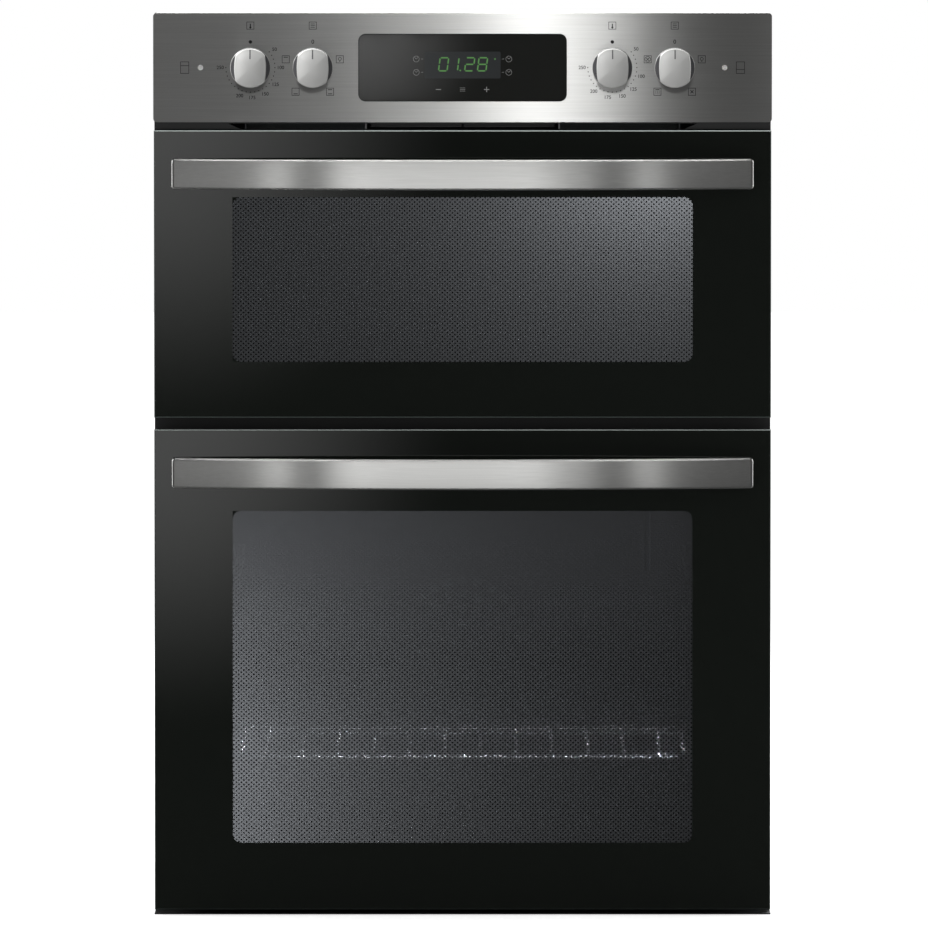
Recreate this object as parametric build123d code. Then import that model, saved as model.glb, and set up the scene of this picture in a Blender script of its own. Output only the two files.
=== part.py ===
from build123d import *
import math
import os
from collections import namedtuple

os.makedirs("parts", exist_ok=True)

# Frame of reference: millimetres, X to the right, the front faces -Y, Z up.
# The origin is the middle of the underside of the base plate.

# Front of the oven, stacked up from the underside of the base
FRONT_WIDTH = 595.0
DOOR_INSET = 0.5
FOOT_GAP = 5.5
MAIN_DOOR_HEIGHT = 464.0
DOOR_GAP = 11.6
TOP_DOOR_HEIGHT = 276.5
VENT_GAP = 8.0
FASCIA_HEIGHT = 105.0

# Case behind the face of the cabinet
FLANGE_WIDTH = 19.5
BODY_DEPTH = 530.0
TOP_OVERLAP = 15.0
CASE_SHEET = 1.0
BASE_SHEET = 1.2
FRAME_SHEET = 2.0
FRAME_LIP = 1.2
FRAME_LIP_SETBACK = 8.0
FIXING_INSET = 9.5
FIXING_LOW_Z = 150.0
FIXING_HIGH_Z = 690.0
FIXING_RADIUS = 2.4

# Cavities, set from the edges of their doors
CAVITY_SIDE = 48.0
CAVITY_REAR_SPACE = 110.0
CAVITY_RADIUS = 18.0
CAVITY_SHEET = 1.5
MAIN_CAVITY_RISE = 56.5
MAIN_CAVITY_DROP = 57.5
TOP_CAVITY_RISE = 44.0
TOP_CAVITY_DROP = 42.5
INSULATION = 24.0
INSULATION_GAP = 0.5
INSULATION_BASE_GAP = 9.0
SEAL_INSET = 4.0
SEAL_WIDTH = 10.0
SEAL_HEIGHT = 5.6
SEAL_ROUND = 2.4

# Doors
DOOR_DEPTH = 38.0
DOOR_AIR = 6.0
GLASS = 4.0
GLASS_EDGE = 0.8
RAIL_INSET = 2.0
TRIM_INSET = 1.5
TOP_TRIM_HEIGHT = 18.0
BOTTOM_TRIM_RISE = 14.0
TRIM_FOOT = 8.0
TRIM_SLOT_COUNT = 11
TRIM_SLOT_LENGTH = 28.0
TRIM_SLOT_WIDTH = 8.0
TRIM_SLOT_SETBACK = 13.0

# Door hinges
PIVOT_BACK = 14.0
PIVOT_RISE = 24.0
PIN_RADIUS = 4.0
RUNNING_FIT = 0.05
HINGE_INSET = 5.0
CHANNEL_WIDTH = 14.0
CHANNEL_WALL = 3.0
CHANNEL_WEB = 2.0
CHANNEL_DEPTH = 22.0
CHANNEL_FOOT = 9.0
CHANNEL_RISE = 100.0
ARM_THICKNESS = 6.0
ARM_HEIGHT = 12.0
ARM_EYE_RADIUS = 7.0
ARM_REACH = 34.0
ARM_NOTCH = 5.0
RECEIVER_WALL = 3.0
RECEIVER_REACH = 46.0
CLEARANCE = 0.3

# Handles
HANDLE_INSET = 17.0
HANDLE_HEIGHT = 28.8
HANDLE_THICKNESS = 12.0
HANDLE_BOW = 28.0
HANDLE_END_GAP = 2.0
HANDLE_CORNER = 3.5
HANDLE_EDGE = 2.2
HANDLE_DROP = 41.5
HANDLE_SEAT = 0.05
POST_SETBACK = 20.0
POST_WIDTH = 22.0
POST_HEIGHT = 18.0
SCREW_RADIUS = 2.5
SCREW_HEAD_RADIUS = 5.0
SCREW_HEAD_HEIGHT = 3.0
SCREW_BITE = 3.0

# Racks and shelves
WIRE = 5.0
RACK_WALL_GAP = 3.0
RACK_PITCH = 58.5
RACK_HEADROOM = 40.0
MAIN_RACK_FIRST = 26.5
TOP_RACK_FIRST = 30.0
MAIN_SHELF_LEVEL = 1
TOP_SHELF_LEVEL = 0
RACK_FRONT = 45.0
RACK_REAR = 60.0
RACK_WELD = 0.1
RACK_PLAY = 1.5
SHELF_FRAME = 6.0
SHELF_WIRE = 4.0
SHELF_PITCH = 35.0
SHELF_SETBACK = 25.0
SHELF_REAR_SPACE = 50.0
SHELF_CORNER = 14.0
SHELF_SIDE_PLAY = 2.0
BRACE_SETBACK = 25.0
BRACE_DROP = 2.6

# Heating elements
TUBE = 6.6
TUBE_BEND = 14.0
GRILL_DROP = 26.0
GRILL_PITCH = 72.0
GRILL_FRONT = 60.0
GRILL_REAR = 45.0
HANGER_RADIUS = 1.6
BASE_OUTER_X = 180.0
BASE_INNER_X = 90.0
ELEMENT_FLANGE = 2.0
ELEMENT_FLANGE_HALF = 13.0
RING_RADIUS = 96.0
RING_LEG_X = 14.0
RING_LEG_RADIUS = 2.6
RING_FLANGE_HALF = 28.0

# Oven fan
COVER_WIDTH = 300.0
COVER_HEIGHT = 290.0
COVER_DEPTH = 38.0
COVER_SHEET = 1.2
COVER_CORNER = 24.0
INLET_RADIUS = 4.6
INLET_RINGS = 4
INLET_RING_PITCH = 14.3
INLET_FIRST_COUNT = 6
OUTLET_LENGTH = 32.0
OUTLET_WIDTH = 9.0
OUTLET_PITCH = 44.0
OUTLET_INSET = 16.5
OUTLET_PLACES = (-2, -1, 0, 1, 2)
FAN_RADIUS = 74.0
FAN_BLADE_COUNT = 16
FAN_BLADE_DEPTH = 18.0
FAN_BLADE_LENGTH = 30.0
FAN_SHEET = 1.4
FAN_WALL_GAP = 9.0
FAN_SHAFT_RADIUS = 4.0
FAN_SHAFT_HOLE = 8.0
FAN_HUB_RADIUS = 12.0
MOTOR_RADIUS = 34.0
MOTOR_LENGTH = 48.0
MOTOR_BOSS_RADIUS = 12.0
MOTOR_BOSS_LENGTH = 8.0
MOTOR_PLATE = 2.0
MOTOR_PLATE_RADIUS = 52.0

# Lamps and temperature probes
LAMP_INSET = 45.0
LAMP_RADIUS = 18.0
LENS_RIM = 5.0
LENS_DEPTH = 10.0
LENS_ROUND = 9.5
LAMP_LENGTH = 40.0
PROBE_RADIUS = 3.0
PROBE_LENGTH = 80.0
PROBE_TOP = 30.0

# Control fascia
FASCIA_SHEET = 1.5
FASCIA_CORNER = 3.5
KNOB_INSET = 93.5
KNOB_SPACING = 60.0
KNOB_RADIUS = 19.3
KNOB_REACH = 24.0
KNOB_SKIRT = 5.0
KNOB_GAP = 0.6
KNOB_GRIP_WIDTH = 30.6
KNOB_SIDE_RADIUS = 62.0
KNOB_EDGE = 1.6
KNOB_STEP = 0.4
KNOB_FACE = 8.0
KNOB_MARK_LENGTH = 9.0
KNOB_MARK_WIDTH = 1.4
KNOB_MARK_DEPTH = 0.5
SPINDLE_RADIUS = 3.0
SPINDLE_BITE = 16.0
SPINDLE_HOLE = 5.0
PILOT_INSET = 45.5
PILOT_RADIUS = 2.7
PILOT_RIM = 1.5
PILOT_DOME = 1.0
CLOCK_WIDTH = 200.4
CLOCK_HEIGHT = 65.0
CLOCK_CORNER = 7.0
CLOCK_GLASS = 3.0
CLOCK_PROUD = 0.6
CLOCK_EDGE = 0.5
CLOCK_CLEARANCE = 0.15
MODULE_MARGIN = 8.0
BRACKET_SETBACK = 26.0
BRACKET_SHEET = 1.5
BRACKET_MARGIN = 8.0
BRACKET_SIDE = 8.0
SWITCH_SIZE = 44.0
THERMOSTAT_SIZE = 38.0
SWITCH_DEPTH = 34.0
COMPARTMENT_SIDE = 16.0
COMPARTMENT_BOTTOM = 12.0
COMPARTMENT_TOP = 20.0

# Cooling air
VENT_INSET = 83.5
VENT_FLARE = 12.0
VENT_STRIP_SETBACK = 12.0
VENT_STRIP_BAR = 1.5
VENT_STRIP_CLEAR = 1.2
DUCT_INSET = 4.0
DUCT_HEIGHT = 24.0
DUCT_SHEET = 1.0
DUCT_LENGTH = 120.0
FLOOR_SHEET = 1.0
FLOOR_GAP = 4.0
SCROLL_RADIUS = 34.0
SCROLL_SHEET = 1.5
THROAT_LENGTH = 70.0
THROAT_HEIGHT = 23.0
BLOWER_HALF_LENGTH = 95.0
WHEEL_RADIUS = 27.0
WHEEL_BLADE_COUNT = 20
WHEEL_BLADE_DEPTH = 7.0
WHEEL_BLADE_INSET = 0.4
INTAKE_DEPTH = 21.6
WHEEL_SHEET = 1.6
WHEEL_END_GAP = 2.0
AXLE_RADIUS = 3.0
AXLE_BITE = 14.0
BLOWER_MOTOR_RADIUS = 26.0
BLOWER_MOTOR_LENGTH = 40.0

# Rear of the case
TERMINAL_INSET = 108.0
TERMINAL_WIDTH = 90.0
TERMINAL_HEIGHT = 56.0
TERMINAL_DEPTH = 26.0
TERMINAL_WALL = 2.0
TERMINAL_FLANGE = 5.0
GLAND_RADIUS = 10.0
GLAND_BORE = 6.0
GLAND_REACH = 10.0
GLAND_NUT_RADIUS = 13.0
GLAND_NUT = 4.0
LOUVRE_COUNT = 9
LOUVRE_LENGTH = 60.0
LOUVRE_WIDTH = 4.0
LOUVRE_PITCH = 12.0
CASE_SCREW_INSET = 12.0
CASE_SCREW_RADIUS = 2.0
CASE_SCREW_HEAD = 4.2
CASE_SCREW_HEAD_HEIGHT = 2.2
CASE_SCREW_LENGTH = 4.0

# Heights and depths that follow
MAIN_DOOR_Z = FOOT_GAP
MAIN_DOOR_TOP = MAIN_DOOR_Z + MAIN_DOOR_HEIGHT
TOP_DOOR_Z = MAIN_DOOR_TOP + DOOR_GAP
TOP_DOOR_TOP = TOP_DOOR_Z + TOP_DOOR_HEIGHT
FASCIA_Z = TOP_DOOR_TOP + VENT_GAP
FRONT_TOP = FASCIA_Z + FASCIA_HEIGHT
FASCIA_MID_Z = FASCIA_Z + FASCIA_HEIGHT / 2
BODY_TOP = FRONT_TOP - TOP_OVERLAP
FRAME_TOP = FRONT_TOP - FASCIA_SHEET
FRONT_HALF = FRONT_WIDTH / 2
DOOR_HALF = FRONT_HALF - DOOR_INSET
HANDLE_HALF = DOOR_HALF - HANDLE_INSET
BODY_HALF = FRONT_HALF - FLANGE_WIDTH
CABINET_Y = -BODY_DEPTH / 2
REAR_Y = BODY_DEPTH / 2
FRAME_Y = CABINET_Y - FRAME_SHEET
DOOR_BACK_Y = FRAME_Y - DOOR_AIR
GLASS_Y = DOOR_BACK_Y - DOOR_DEPTH
GLASS_BACK_Y = GLASS_Y + GLASS
PIVOT_Y = GLASS_Y + PIVOT_BACK
BRACKET_Y = GLASS_Y + BRACKET_SETBACK
CAVITY_HALF = BODY_HALF - CAVITY_SIDE
CAVITY_BACK_Y = REAR_Y - CAVITY_REAR_SPACE
CAVITY_OUTER_Y = CAVITY_BACK_Y + CAVITY_SHEET
HINGE_X = BODY_HALF - CASE_SHEET - HINGE_INSET
RAIL_INNER_X = HINGE_X + CHANNEL_WIDTH / 2
RAIL_OUTER_X = DOOR_HALF - RAIL_INSET
LAMP_X = -(CAVITY_HALF - LAMP_INSET)
PROBE_X = CAVITY_HALF - LAMP_INSET
KNOB_OUTER_X = FRONT_HALF - KNOB_INSET
KNOB_INNER_X = KNOB_OUTER_X - KNOB_SPACING
PILOT_X = FRONT_HALF - PILOT_INSET
COMPARTMENT_HALF = BODY_HALF - COMPARTMENT_SIDE
BRACKET_HALF = COMPARTMENT_HALF + BRACKET_SIDE
VENT_HALF_BOTTOM = FRONT_HALF - VENT_INSET
VENT_HALF_TOP = VENT_HALF_BOTTOM + VENT_FLARE
DUCT_HALF = VENT_HALF_BOTTOM - DUCT_INSET
TERMINAL_X = BODY_HALF - TERMINAL_INSET

Oven = namedtuple("Oven", "name door_z door_top pivot_z cavity_z cavity_top handle_z rack_first shelf_level")
TOP = Oven(
    "top",
    TOP_DOOR_Z,
    TOP_DOOR_TOP,
    TOP_DOOR_Z + PIVOT_RISE,
    TOP_DOOR_Z + TOP_CAVITY_RISE,
    TOP_DOOR_TOP - TOP_CAVITY_DROP,
    TOP_DOOR_TOP - HANDLE_DROP,
    TOP_RACK_FIRST,
    TOP_SHELF_LEVEL,
)
MAIN = Oven(
    "main",
    MAIN_DOOR_Z,
    MAIN_DOOR_TOP,
    MAIN_DOOR_Z + PIVOT_RISE,
    MAIN_DOOR_Z + MAIN_CAVITY_RISE,
    MAIN_DOOR_TOP - MAIN_CAVITY_DROP,
    MAIN_DOOR_TOP - HANDLE_DROP,
    MAIN_RACK_FIRST,
    MAIN_SHELF_LEVEL,
)
OVENS = (TOP, MAIN)
FAN_Z = (MAIN.cavity_z + MAIN.cavity_top) / 2
FLOOR_Z = TOP.cavity_top + CAVITY_SHEET + INSULATION_GAP + INSULATION + FLOOR_GAP
DUCT_Z = FLOOR_Z + FLOOR_SHEET
BLOWER_Y = CABINET_Y + DUCT_LENGTH + THROAT_LENGTH
BLOWER_Z = DUCT_Z + SCROLL_RADIUS
LEFT_RIGHT = (-1, 1)


# Shapes that several pieces share
def block(x0, x1, y0, y1, z0, z1):
    """A box between two corners."""
    centre = Pos((x0 + x1) / 2, (y0 + y1) / 2, (z0 + z1) / 2)
    return centre * Box(x1 - x0, y1 - y0, z1 - z0)


def upright(outline, y0, y1):
    """An outline drawn in X and Z, made solid from y0 back to y1."""
    return extrude(Plane.XZ.offset(-y1) * outline, amount=y1 - y0)


def panel(half_width, z0, z1, radius):
    """A rectangle in X and Z with rounded corners, centred on the oven."""
    return Pos(0, (z0 + z1) / 2) * RectangleRounded(2 * half_width, z1 - z0, radius)


def along_x(x0, x1, y, z, radius):
    """A round bar that runs left to right."""
    return Pos((x0 + x1) / 2, y, z) * Rot(0, 90, 0) * Cylinder(radius, x1 - x0)


def along_y(x, y0, y1, z, radius):
    """A round bar that runs front to back."""
    return Pos(x, (y0 + y1) / 2, z) * Rot(90, 0, 0) * Cylinder(radius, y1 - y0)


def along_z(x, y, z0, z1, radius):
    """A round bar that stands upright."""
    return Pos(x, y, (z0 + z1) / 2) * Cylinder(radius, z1 - z0)


def bent_bar(points, bend, radius, closed=False):
    """A round bar bent along straight runs."""
    path = FilletPolyline(*points, radius=bend, close=closed)
    section = Plane(origin=path @ 0, z_dir=path % 0) * Circle(radius)
    return sweep(section, path=path)


def group(solids):
    """Separate solids that belong to one node."""
    return Compound(children=list(solids))


def cavity_outline(oven, grow=0.0):
    """The mouth of a cavity, grown by a margin all round."""
    radius = CAVITY_RADIUS + grow
    return panel(CAVITY_HALF + grow, oven.cavity_z - grow, oven.cavity_top + grow, radius)


# Case
def base_plate():
    return block(-BODY_HALF, BODY_HALF, CABINET_Y, REAR_Y, 0, BASE_SHEET)


def side_panels():
    inner = BODY_HALF - CASE_SHEET
    rear = REAR_Y - CASE_SHEET
    top = BODY_TOP - CASE_SHEET
    right = block(inner, BODY_HALF, CABINET_Y, rear, BASE_SHEET, top)
    return group([right, mirror(right, about=Plane.YZ)])


def louvres(x_centre, z_bottom):
    """A stack of slots that let cooling air through the rear panel."""
    slot = SlotOverall(LOUVRE_LENGTH, LOUVRE_WIDTH)
    rows = [Pos(x_centre, z_bottom + i * LOUVRE_PITCH) * slot for i in range(LOUVRE_COUNT)]
    return upright(Sketch() + rows, REAR_Y - CASE_SHEET, REAR_Y)


def case_screw_places():
    x = BODY_HALF - CASE_SCREW_INSET
    low = BASE_SHEET + CASE_SCREW_INSET
    high = BODY_TOP - CASE_SCREW_INSET
    return [(side * x, z) for side in LEFT_RIGHT for z in (low, (low + high) / 2, high)]


def rear_panel():
    sheet = block(-BODY_HALF, BODY_HALF, REAR_Y - CASE_SHEET, REAR_Y, BASE_SHEET, BODY_TOP)
    for side in LEFT_RIGHT:
        sheet -= louvres(side * BODY_HALF / 2, TOP.cavity_z)
        sheet -= louvres(side * BODY_HALF / 2, FAN_Z)
    half = TERMINAL_WIDTH / 2
    z0 = FASCIA_MID_Z - TERMINAL_HEIGHT / 2
    z1 = FASCIA_MID_Z + TERMINAL_HEIGHT / 2
    sheet -= block(TERMINAL_X - half, TERMINAL_X + half, REAR_Y - CASE_SHEET, REAR_Y, z0, z1)
    for x, z in case_screw_places():
        sheet -= along_y(x, REAR_Y - CASE_SHEET, REAR_Y, z, CASE_SCREW_RADIUS + RUNNING_FIT)
    return sheet


def top_cover():
    rear = REAR_Y - CASE_SHEET
    sheet = block(-BODY_HALF, BODY_HALF, CABINET_Y, rear, BODY_TOP - CASE_SHEET, BODY_TOP)
    for i in range(LOUVRE_COUNT):
        y = BLOWER_Y + i * LOUVRE_PITCH
        slot = Pos(0, y, BODY_TOP - CASE_SHEET) * SlotOverall(2 * LOUVRE_LENGTH, LOUVRE_WIDTH)
        sheet -= extrude(slot, amount=CASE_SHEET)
    return sheet


def case_screws():
    screws = []
    for x, z in case_screw_places():
        shank = along_y(x, REAR_Y - CASE_SCREW_LENGTH, REAR_Y, z, CASE_SCREW_RADIUS)
        head = along_y(x, REAR_Y, REAR_Y + CASE_SCREW_HEAD_HEIGHT, z, CASE_SCREW_HEAD)
        screws.append(shank + head)
    return group(screws)


def fixing_places():
    x = FRONT_HALF - FIXING_INSET
    return [(side * x, z) for side in LEFT_RIGHT for z in (FIXING_LOW_Z, FIXING_HIGH_Z)]


def vent_slot_outline(z0, z1):
    """The air outlet, wider at its top than at its bottom."""
    corners = [(-VENT_HALF_BOTTOM, z0), (VENT_HALF_BOTTOM, z0), (VENT_HALF_TOP, z1), (-VENT_HALF_TOP, z1)]
    return make_face(Polyline(*corners, close=True))


def front_frame():
    half = FRONT_HALF
    frame = block(-half, half, FRAME_Y, CABINET_Y, 0, FRAME_TOP)
    frame += block(-half, half, GLASS_Y + FRAME_LIP_SETBACK, FRAME_Y, 0, FRAME_LIP)
    for oven in OVENS:
        frame -= upright(cavity_outline(oven), FRAME_Y, CABINET_Y)
        for side in LEFT_RIGHT:
            x0 = side * HINGE_X - CHANNEL_WIDTH / 2 + CHANNEL_WALL
            x1 = side * HINGE_X + CHANNEL_WIDTH / 2 - CHANNEL_WALL
            z0 = oven.pivot_z - CHANNEL_FOOT
            frame -= block(x0, x1, FRAME_Y, CABINET_Y, z0, oven.pivot_z + CHANNEL_FOOT)
    window = (-COMPARTMENT_HALF, COMPARTMENT_HALF, FRAME_Y, CABINET_Y)
    frame -= block(*window, FASCIA_Z + COMPARTMENT_BOTTOM, FRONT_TOP - COMPARTMENT_TOP)
    frame -= upright(vent_slot_outline(TOP_DOOR_TOP, FASCIA_Z), FRAME_Y, CABINET_Y)
    for x, z in fixing_places():
        frame -= along_y(x, FRAME_Y, CABINET_Y, z, FIXING_RADIUS)
    return frame


# Cavities and what lines them
def cavity(oven):
    outer = upright(cavity_outline(oven, CAVITY_SHEET), CABINET_Y, CAVITY_OUTER_Y)
    liner = outer - upright(cavity_outline(oven), CABINET_Y, CAVITY_BACK_Y)
    lamp_z = oven.cavity_top - LAMP_INSET
    liner -= along_y(LAMP_X, CAVITY_BACK_Y, CAVITY_OUTER_Y, lamp_z, LAMP_RADIUS + CLEARANCE)
    if oven is MAIN:
        liner -= along_y(0, CAVITY_BACK_Y, CAVITY_OUTER_Y, FAN_Z, FAN_SHAFT_HOLE)
    return liner


def cavity_insulation():
    blankets = []
    for oven in OVENS:
        inner_half = CAVITY_HALF + CAVITY_SHEET + INSULATION_GAP
        bottom = oven.cavity_z - CAVITY_SHEET - INSULATION_BASE_GAP
        top = oven.cavity_top + CAVITY_SHEET + INSULATION_GAP
        back = CAVITY_OUTER_Y + INSULATION_GAP
        outer_half = inner_half + INSULATION
        outer = (-outer_half, outer_half, CABINET_Y, back + INSULATION)
        blanket = block(*outer, bottom - INSULATION, top + INSULATION)
        blanket -= block(-inner_half, inner_half, CABINET_Y, back, bottom, top)
        lamp_z = oven.cavity_top - LAMP_INSET
        rim = LAMP_RADIUS + LENS_RIM + CLEARANCE
        blanket -= along_y(LAMP_X, back, back + INSULATION, lamp_z, rim)
        if oven is MAIN:
            rim = MOTOR_PLATE_RADIUS + CLEARANCE
            blanket -= along_y(0, back, back + INSULATION, FAN_Z, rim)
        blankets.append(blanket)
    return group(blankets)


def door_seal(oven):
    outer = cavity_outline(oven, SEAL_INSET + SEAL_WIDTH)
    ring = upright(outer - cavity_outline(oven, SEAL_INSET), FRAME_Y - SEAL_HEIGHT, FRAME_Y)
    crown = ring.faces().sort_by(Axis.Y)[0]
    return fillet(crown.edges(), SEAL_ROUND)


def shelf_z(oven):
    """Height of the middle of the shelf's frame wire."""
    return oven.cavity_z + oven.rack_first + oven.shelf_level * RACK_PITCH


def shelf_half_width():
    upright_inner = CAVITY_HALF - RACK_WALL_GAP - WIRE
    return upright_inner - SHELF_SIDE_PLAY - SHELF_FRAME / 2


def rack_support(oven):
    """The wire ladder on the right wall: two uprights, and two rails at each level."""
    upright_x = CAVITY_HALF - RACK_WALL_GAP - WIRE / 2
    rail_x = upright_x - WIRE + RACK_WELD
    y0 = CABINET_Y + RACK_FRONT
    y1 = CAVITY_BACK_Y - RACK_REAR
    levels = int((oven.cavity_top - oven.cavity_z - oven.rack_first - RACK_HEADROOM) / RACK_PITCH) + 1
    seat = SHELF_FRAME / 2 + WIRE / 2 + CLEARANCE
    lowest = oven.cavity_z + oven.rack_first - seat - WIRE
    highest = oven.cavity_z + oven.rack_first + (levels - 1) * RACK_PITCH + 2 * seat
    ladder = []
    for y in (y0 + WIRE, y1 - WIRE):
        ladder.append(along_z(upright_x, y, lowest, highest, WIRE / 2))
        for z in (lowest + WIRE, highest - WIRE):
            ladder.append(along_x(upright_x, CAVITY_HALF, y, z, WIRE / 2))
    for level in range(levels):
        z = oven.cavity_z + oven.rack_first + level * RACK_PITCH
        ladder.append(along_y(rail_x, y0, y1, z - seat, WIRE / 2))
        ladder.append(along_y(rail_x, y0, y1, z + seat + RACK_PLAY, WIRE / 2))
    return Part() + ladder


def rack_supports(oven):
    right = rack_support(oven)
    return group([right, mirror(right, about=Plane.YZ)])


def shelf(oven):
    half = shelf_half_width()
    z = shelf_z(oven)
    y0 = CABINET_Y + SHELF_SETBACK
    y1 = CAVITY_BACK_Y - SHELF_REAR_SPACE
    corners = [(half, y0, z), (half, y1, z), (-half, y1, z), (-half, y0, z)]
    frame = bent_bar(corners, SHELF_CORNER, SHELF_FRAME / 2, closed=True)
    pairs = int((half - SHELF_CORNER) / SHELF_PITCH - 0.5) + 1
    wires = []
    for i in range(pairs):
        for side in LEFT_RIGHT:
            wires.append(along_y(side * (i + 0.5) * SHELF_PITCH, y0, y1, z, SHELF_WIRE / 2))
    wires.append(along_x(-half, half, y1 - BRACE_SETBACK, z - BRACE_DROP, SHELF_WIRE / 2))
    return frame + wires


# Heating elements, lamps and probes
def top_grill_element():
    z = TOP.cavity_top - GRILL_DROP
    y_wall = CAVITY_BACK_Y - ELEMENT_FLANGE
    y_rear = CAVITY_BACK_Y - GRILL_REAR
    y_turn = y_rear - GRILL_REAR
    y_front = CABINET_Y + GRILL_FRONT
    inner, middle, outer = [(i + 0.5) * GRILL_PITCH for i in range(3)]
    left = [(-inner, y_wall), (-inner, y_rear), (-outer, y_rear), (-outer, y_front)]
    left += [(-middle, y_front), (-middle, y_turn), (-inner, y_turn), (-inner, y_front)]
    right = [(-x, y) for x, y in reversed(left)]
    tube = bent_bar([(x, y, z) for x, y in left + right], TUBE_BEND, TUBE / 2)
    half = ELEMENT_FLANGE_HALF
    flange = block(-GRILL_PITCH, GRILL_PITCH, y_wall, CAVITY_BACK_Y, z - half, z + half)
    hangers = []
    for side in LEFT_RIGHT:
        hangers.append(along_z(side * middle, (y_front + y_turn) / 2, z, TOP.cavity_top, HANGER_RADIUS))
    return tube + flange + hangers


def top_base_element():
    """The hidden element under the floor of the top cavity."""
    z = TOP.cavity_z - CAVITY_SHEET - CLEARANCE - TUBE / 2
    y_rear = CAVITY_BACK_Y - GRILL_REAR
    y_front = CABINET_Y + GRILL_FRONT
    left = [(-TUBE, y_rear), (-BASE_OUTER_X, y_rear), (-BASE_OUTER_X, y_front)]
    left += [(-BASE_INNER_X, y_front), (-BASE_INNER_X, y_rear - GRILL_REAR)]
    right = [(-x, y) for x, y in reversed(left)]
    return bent_bar([(x, y, z) for x, y in left + right], TUBE_BEND, TUBE / 2)


def main_ring_element():
    y = CAVITY_BACK_Y - COVER_DEPTH / 2
    y_wall = CAVITY_BACK_Y - ELEMENT_FLANGE
    z_foot = FAN_Z - math.sqrt(RING_RADIUS**2 - RING_LEG_X**2)
    ring = Pos(0, y, FAN_Z) * Rot(90, 0, 0) * Torus(RING_RADIUS, TUBE / 2)
    legs = [along_y(side * RING_LEG_X, y, y_wall, z_foot, RING_LEG_RADIUS) for side in LEFT_RIGHT]
    half = RING_FLANGE_HALF
    flange = block(-half, half, y_wall, CAVITY_BACK_Y, z_foot - TUBE, z_foot + TUBE)
    return ring + legs + flange


def lamp_lenses():
    lenses = []
    for oven in OVENS:
        z = oven.cavity_top - LAMP_INSET
        lens = along_y(LAMP_X, CAVITY_BACK_Y - LENS_DEPTH, CAVITY_BACK_Y, z, LAMP_RADIUS + LENS_RIM)
        lenses.append(fillet(lens.faces().sort_by(Axis.Y)[0].edges(), LENS_ROUND))
    return group(lenses)


def lamp_holders():
    holders = []
    for oven in OVENS:
        z = oven.cavity_top - LAMP_INSET
        barrel = along_y(LAMP_X, CAVITY_BACK_Y, CAVITY_BACK_Y + LAMP_LENGTH, z, LAMP_RADIUS)
        collar_end = CAVITY_OUTER_Y + CAVITY_SHEET
        collar = along_y(LAMP_X, CAVITY_OUTER_Y, collar_end, z, LAMP_RADIUS + LENS_RIM)
        holders.append(barrel + collar)
    return group(holders)


# Oven fan at the back of the main cavity
def cover_outline(grow=0.0):
    half = COVER_WIDTH / 2 + grow
    z0 = FAN_Z - COVER_HEIGHT / 2 - grow
    z1 = FAN_Z + COVER_HEIGHT / 2 + grow
    return panel(half, z0, z1, COVER_CORNER + grow)


def fan_cover():
    y0 = CAVITY_BACK_Y - COVER_DEPTH
    y1 = y0 + COVER_SHEET
    tray = upright(cover_outline(), y0, CAVITY_BACK_Y)
    tray -= upright(cover_outline(-COVER_SHEET), y1, CAVITY_BACK_Y)
    inlet = []
    for ring in range(1, INLET_RINGS + 1):
        radius = ring * INLET_RING_PITCH
        count = ring * INLET_FIRST_COUNT
        for i in range(count):
            turn = math.tau * i / count
            place = Pos(radius * math.sin(turn), FAN_Z + radius * math.cos(turn))
            inlet.append(place * Circle(INLET_RADIUS))
    tray -= upright(Sketch() + inlet, y0, y1)
    outlet = []
    slot = SlotOverall(OUTLET_LENGTH, OUTLET_WIDTH)
    rise = COVER_HEIGHT / 2 - OUTLET_INSET
    reach = COVER_WIDTH / 2 - OUTLET_INSET
    for side in LEFT_RIGHT:
        for place in OUTLET_PLACES:
            along = place * OUTLET_PITCH
            outlet.append(Pos(along, FAN_Z + side * rise) * slot)
            outlet.append(Pos(side * reach, FAN_Z + along) * Rot(0, 0, 90) * slot)
    return tray - upright(Sketch() + outlet, y0, y1)


def oven_fan_blade():
    y_back = CAVITY_BACK_Y - FAN_WALL_GAP
    y_disc = y_back - FAN_SHEET
    y_front = y_disc - FAN_BLADE_DEPTH
    fan = along_y(0, y_disc, y_back, FAN_Z, FAN_RADIUS)
    fan += along_y(0, y_front, y_back, FAN_Z, FAN_HUB_RADIUS)
    fan += along_y(0, y_front, CAVITY_OUTER_Y + MOTOR_LENGTH, FAN_Z, FAN_SHAFT_RADIUS)
    inner = FAN_RADIUS - FAN_BLADE_LENGTH
    blade = block(-FAN_SHEET / 2, FAN_SHEET / 2, y_front, y_disc, inner, FAN_RADIUS)
    blades = []
    for i in range(FAN_BLADE_COUNT):
        blades.append(Pos(0, 0, FAN_Z) * Rot(0, 360 * i / FAN_BLADE_COUNT, 0) * blade)
    return fan + blades


def fan_motor():
    y0 = CAVITY_OUTER_Y
    y1 = y0 + MOTOR_PLATE
    y2 = y1 + MOTOR_LENGTH
    motor = along_y(0, y0, y1, FAN_Z, MOTOR_PLATE_RADIUS)
    motor += along_y(0, y1, y2, FAN_Z, MOTOR_RADIUS)
    motor += along_y(0, y2, y2 + MOTOR_BOSS_LENGTH, FAN_Z, MOTOR_BOSS_RADIUS)
    return motor - along_y(0, y0, y2, FAN_Z, FAN_SHAFT_RADIUS + RUNNING_FIT)


# Doors
def screw_x():
    return HANDLE_HALF - POST_SETBACK


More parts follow.
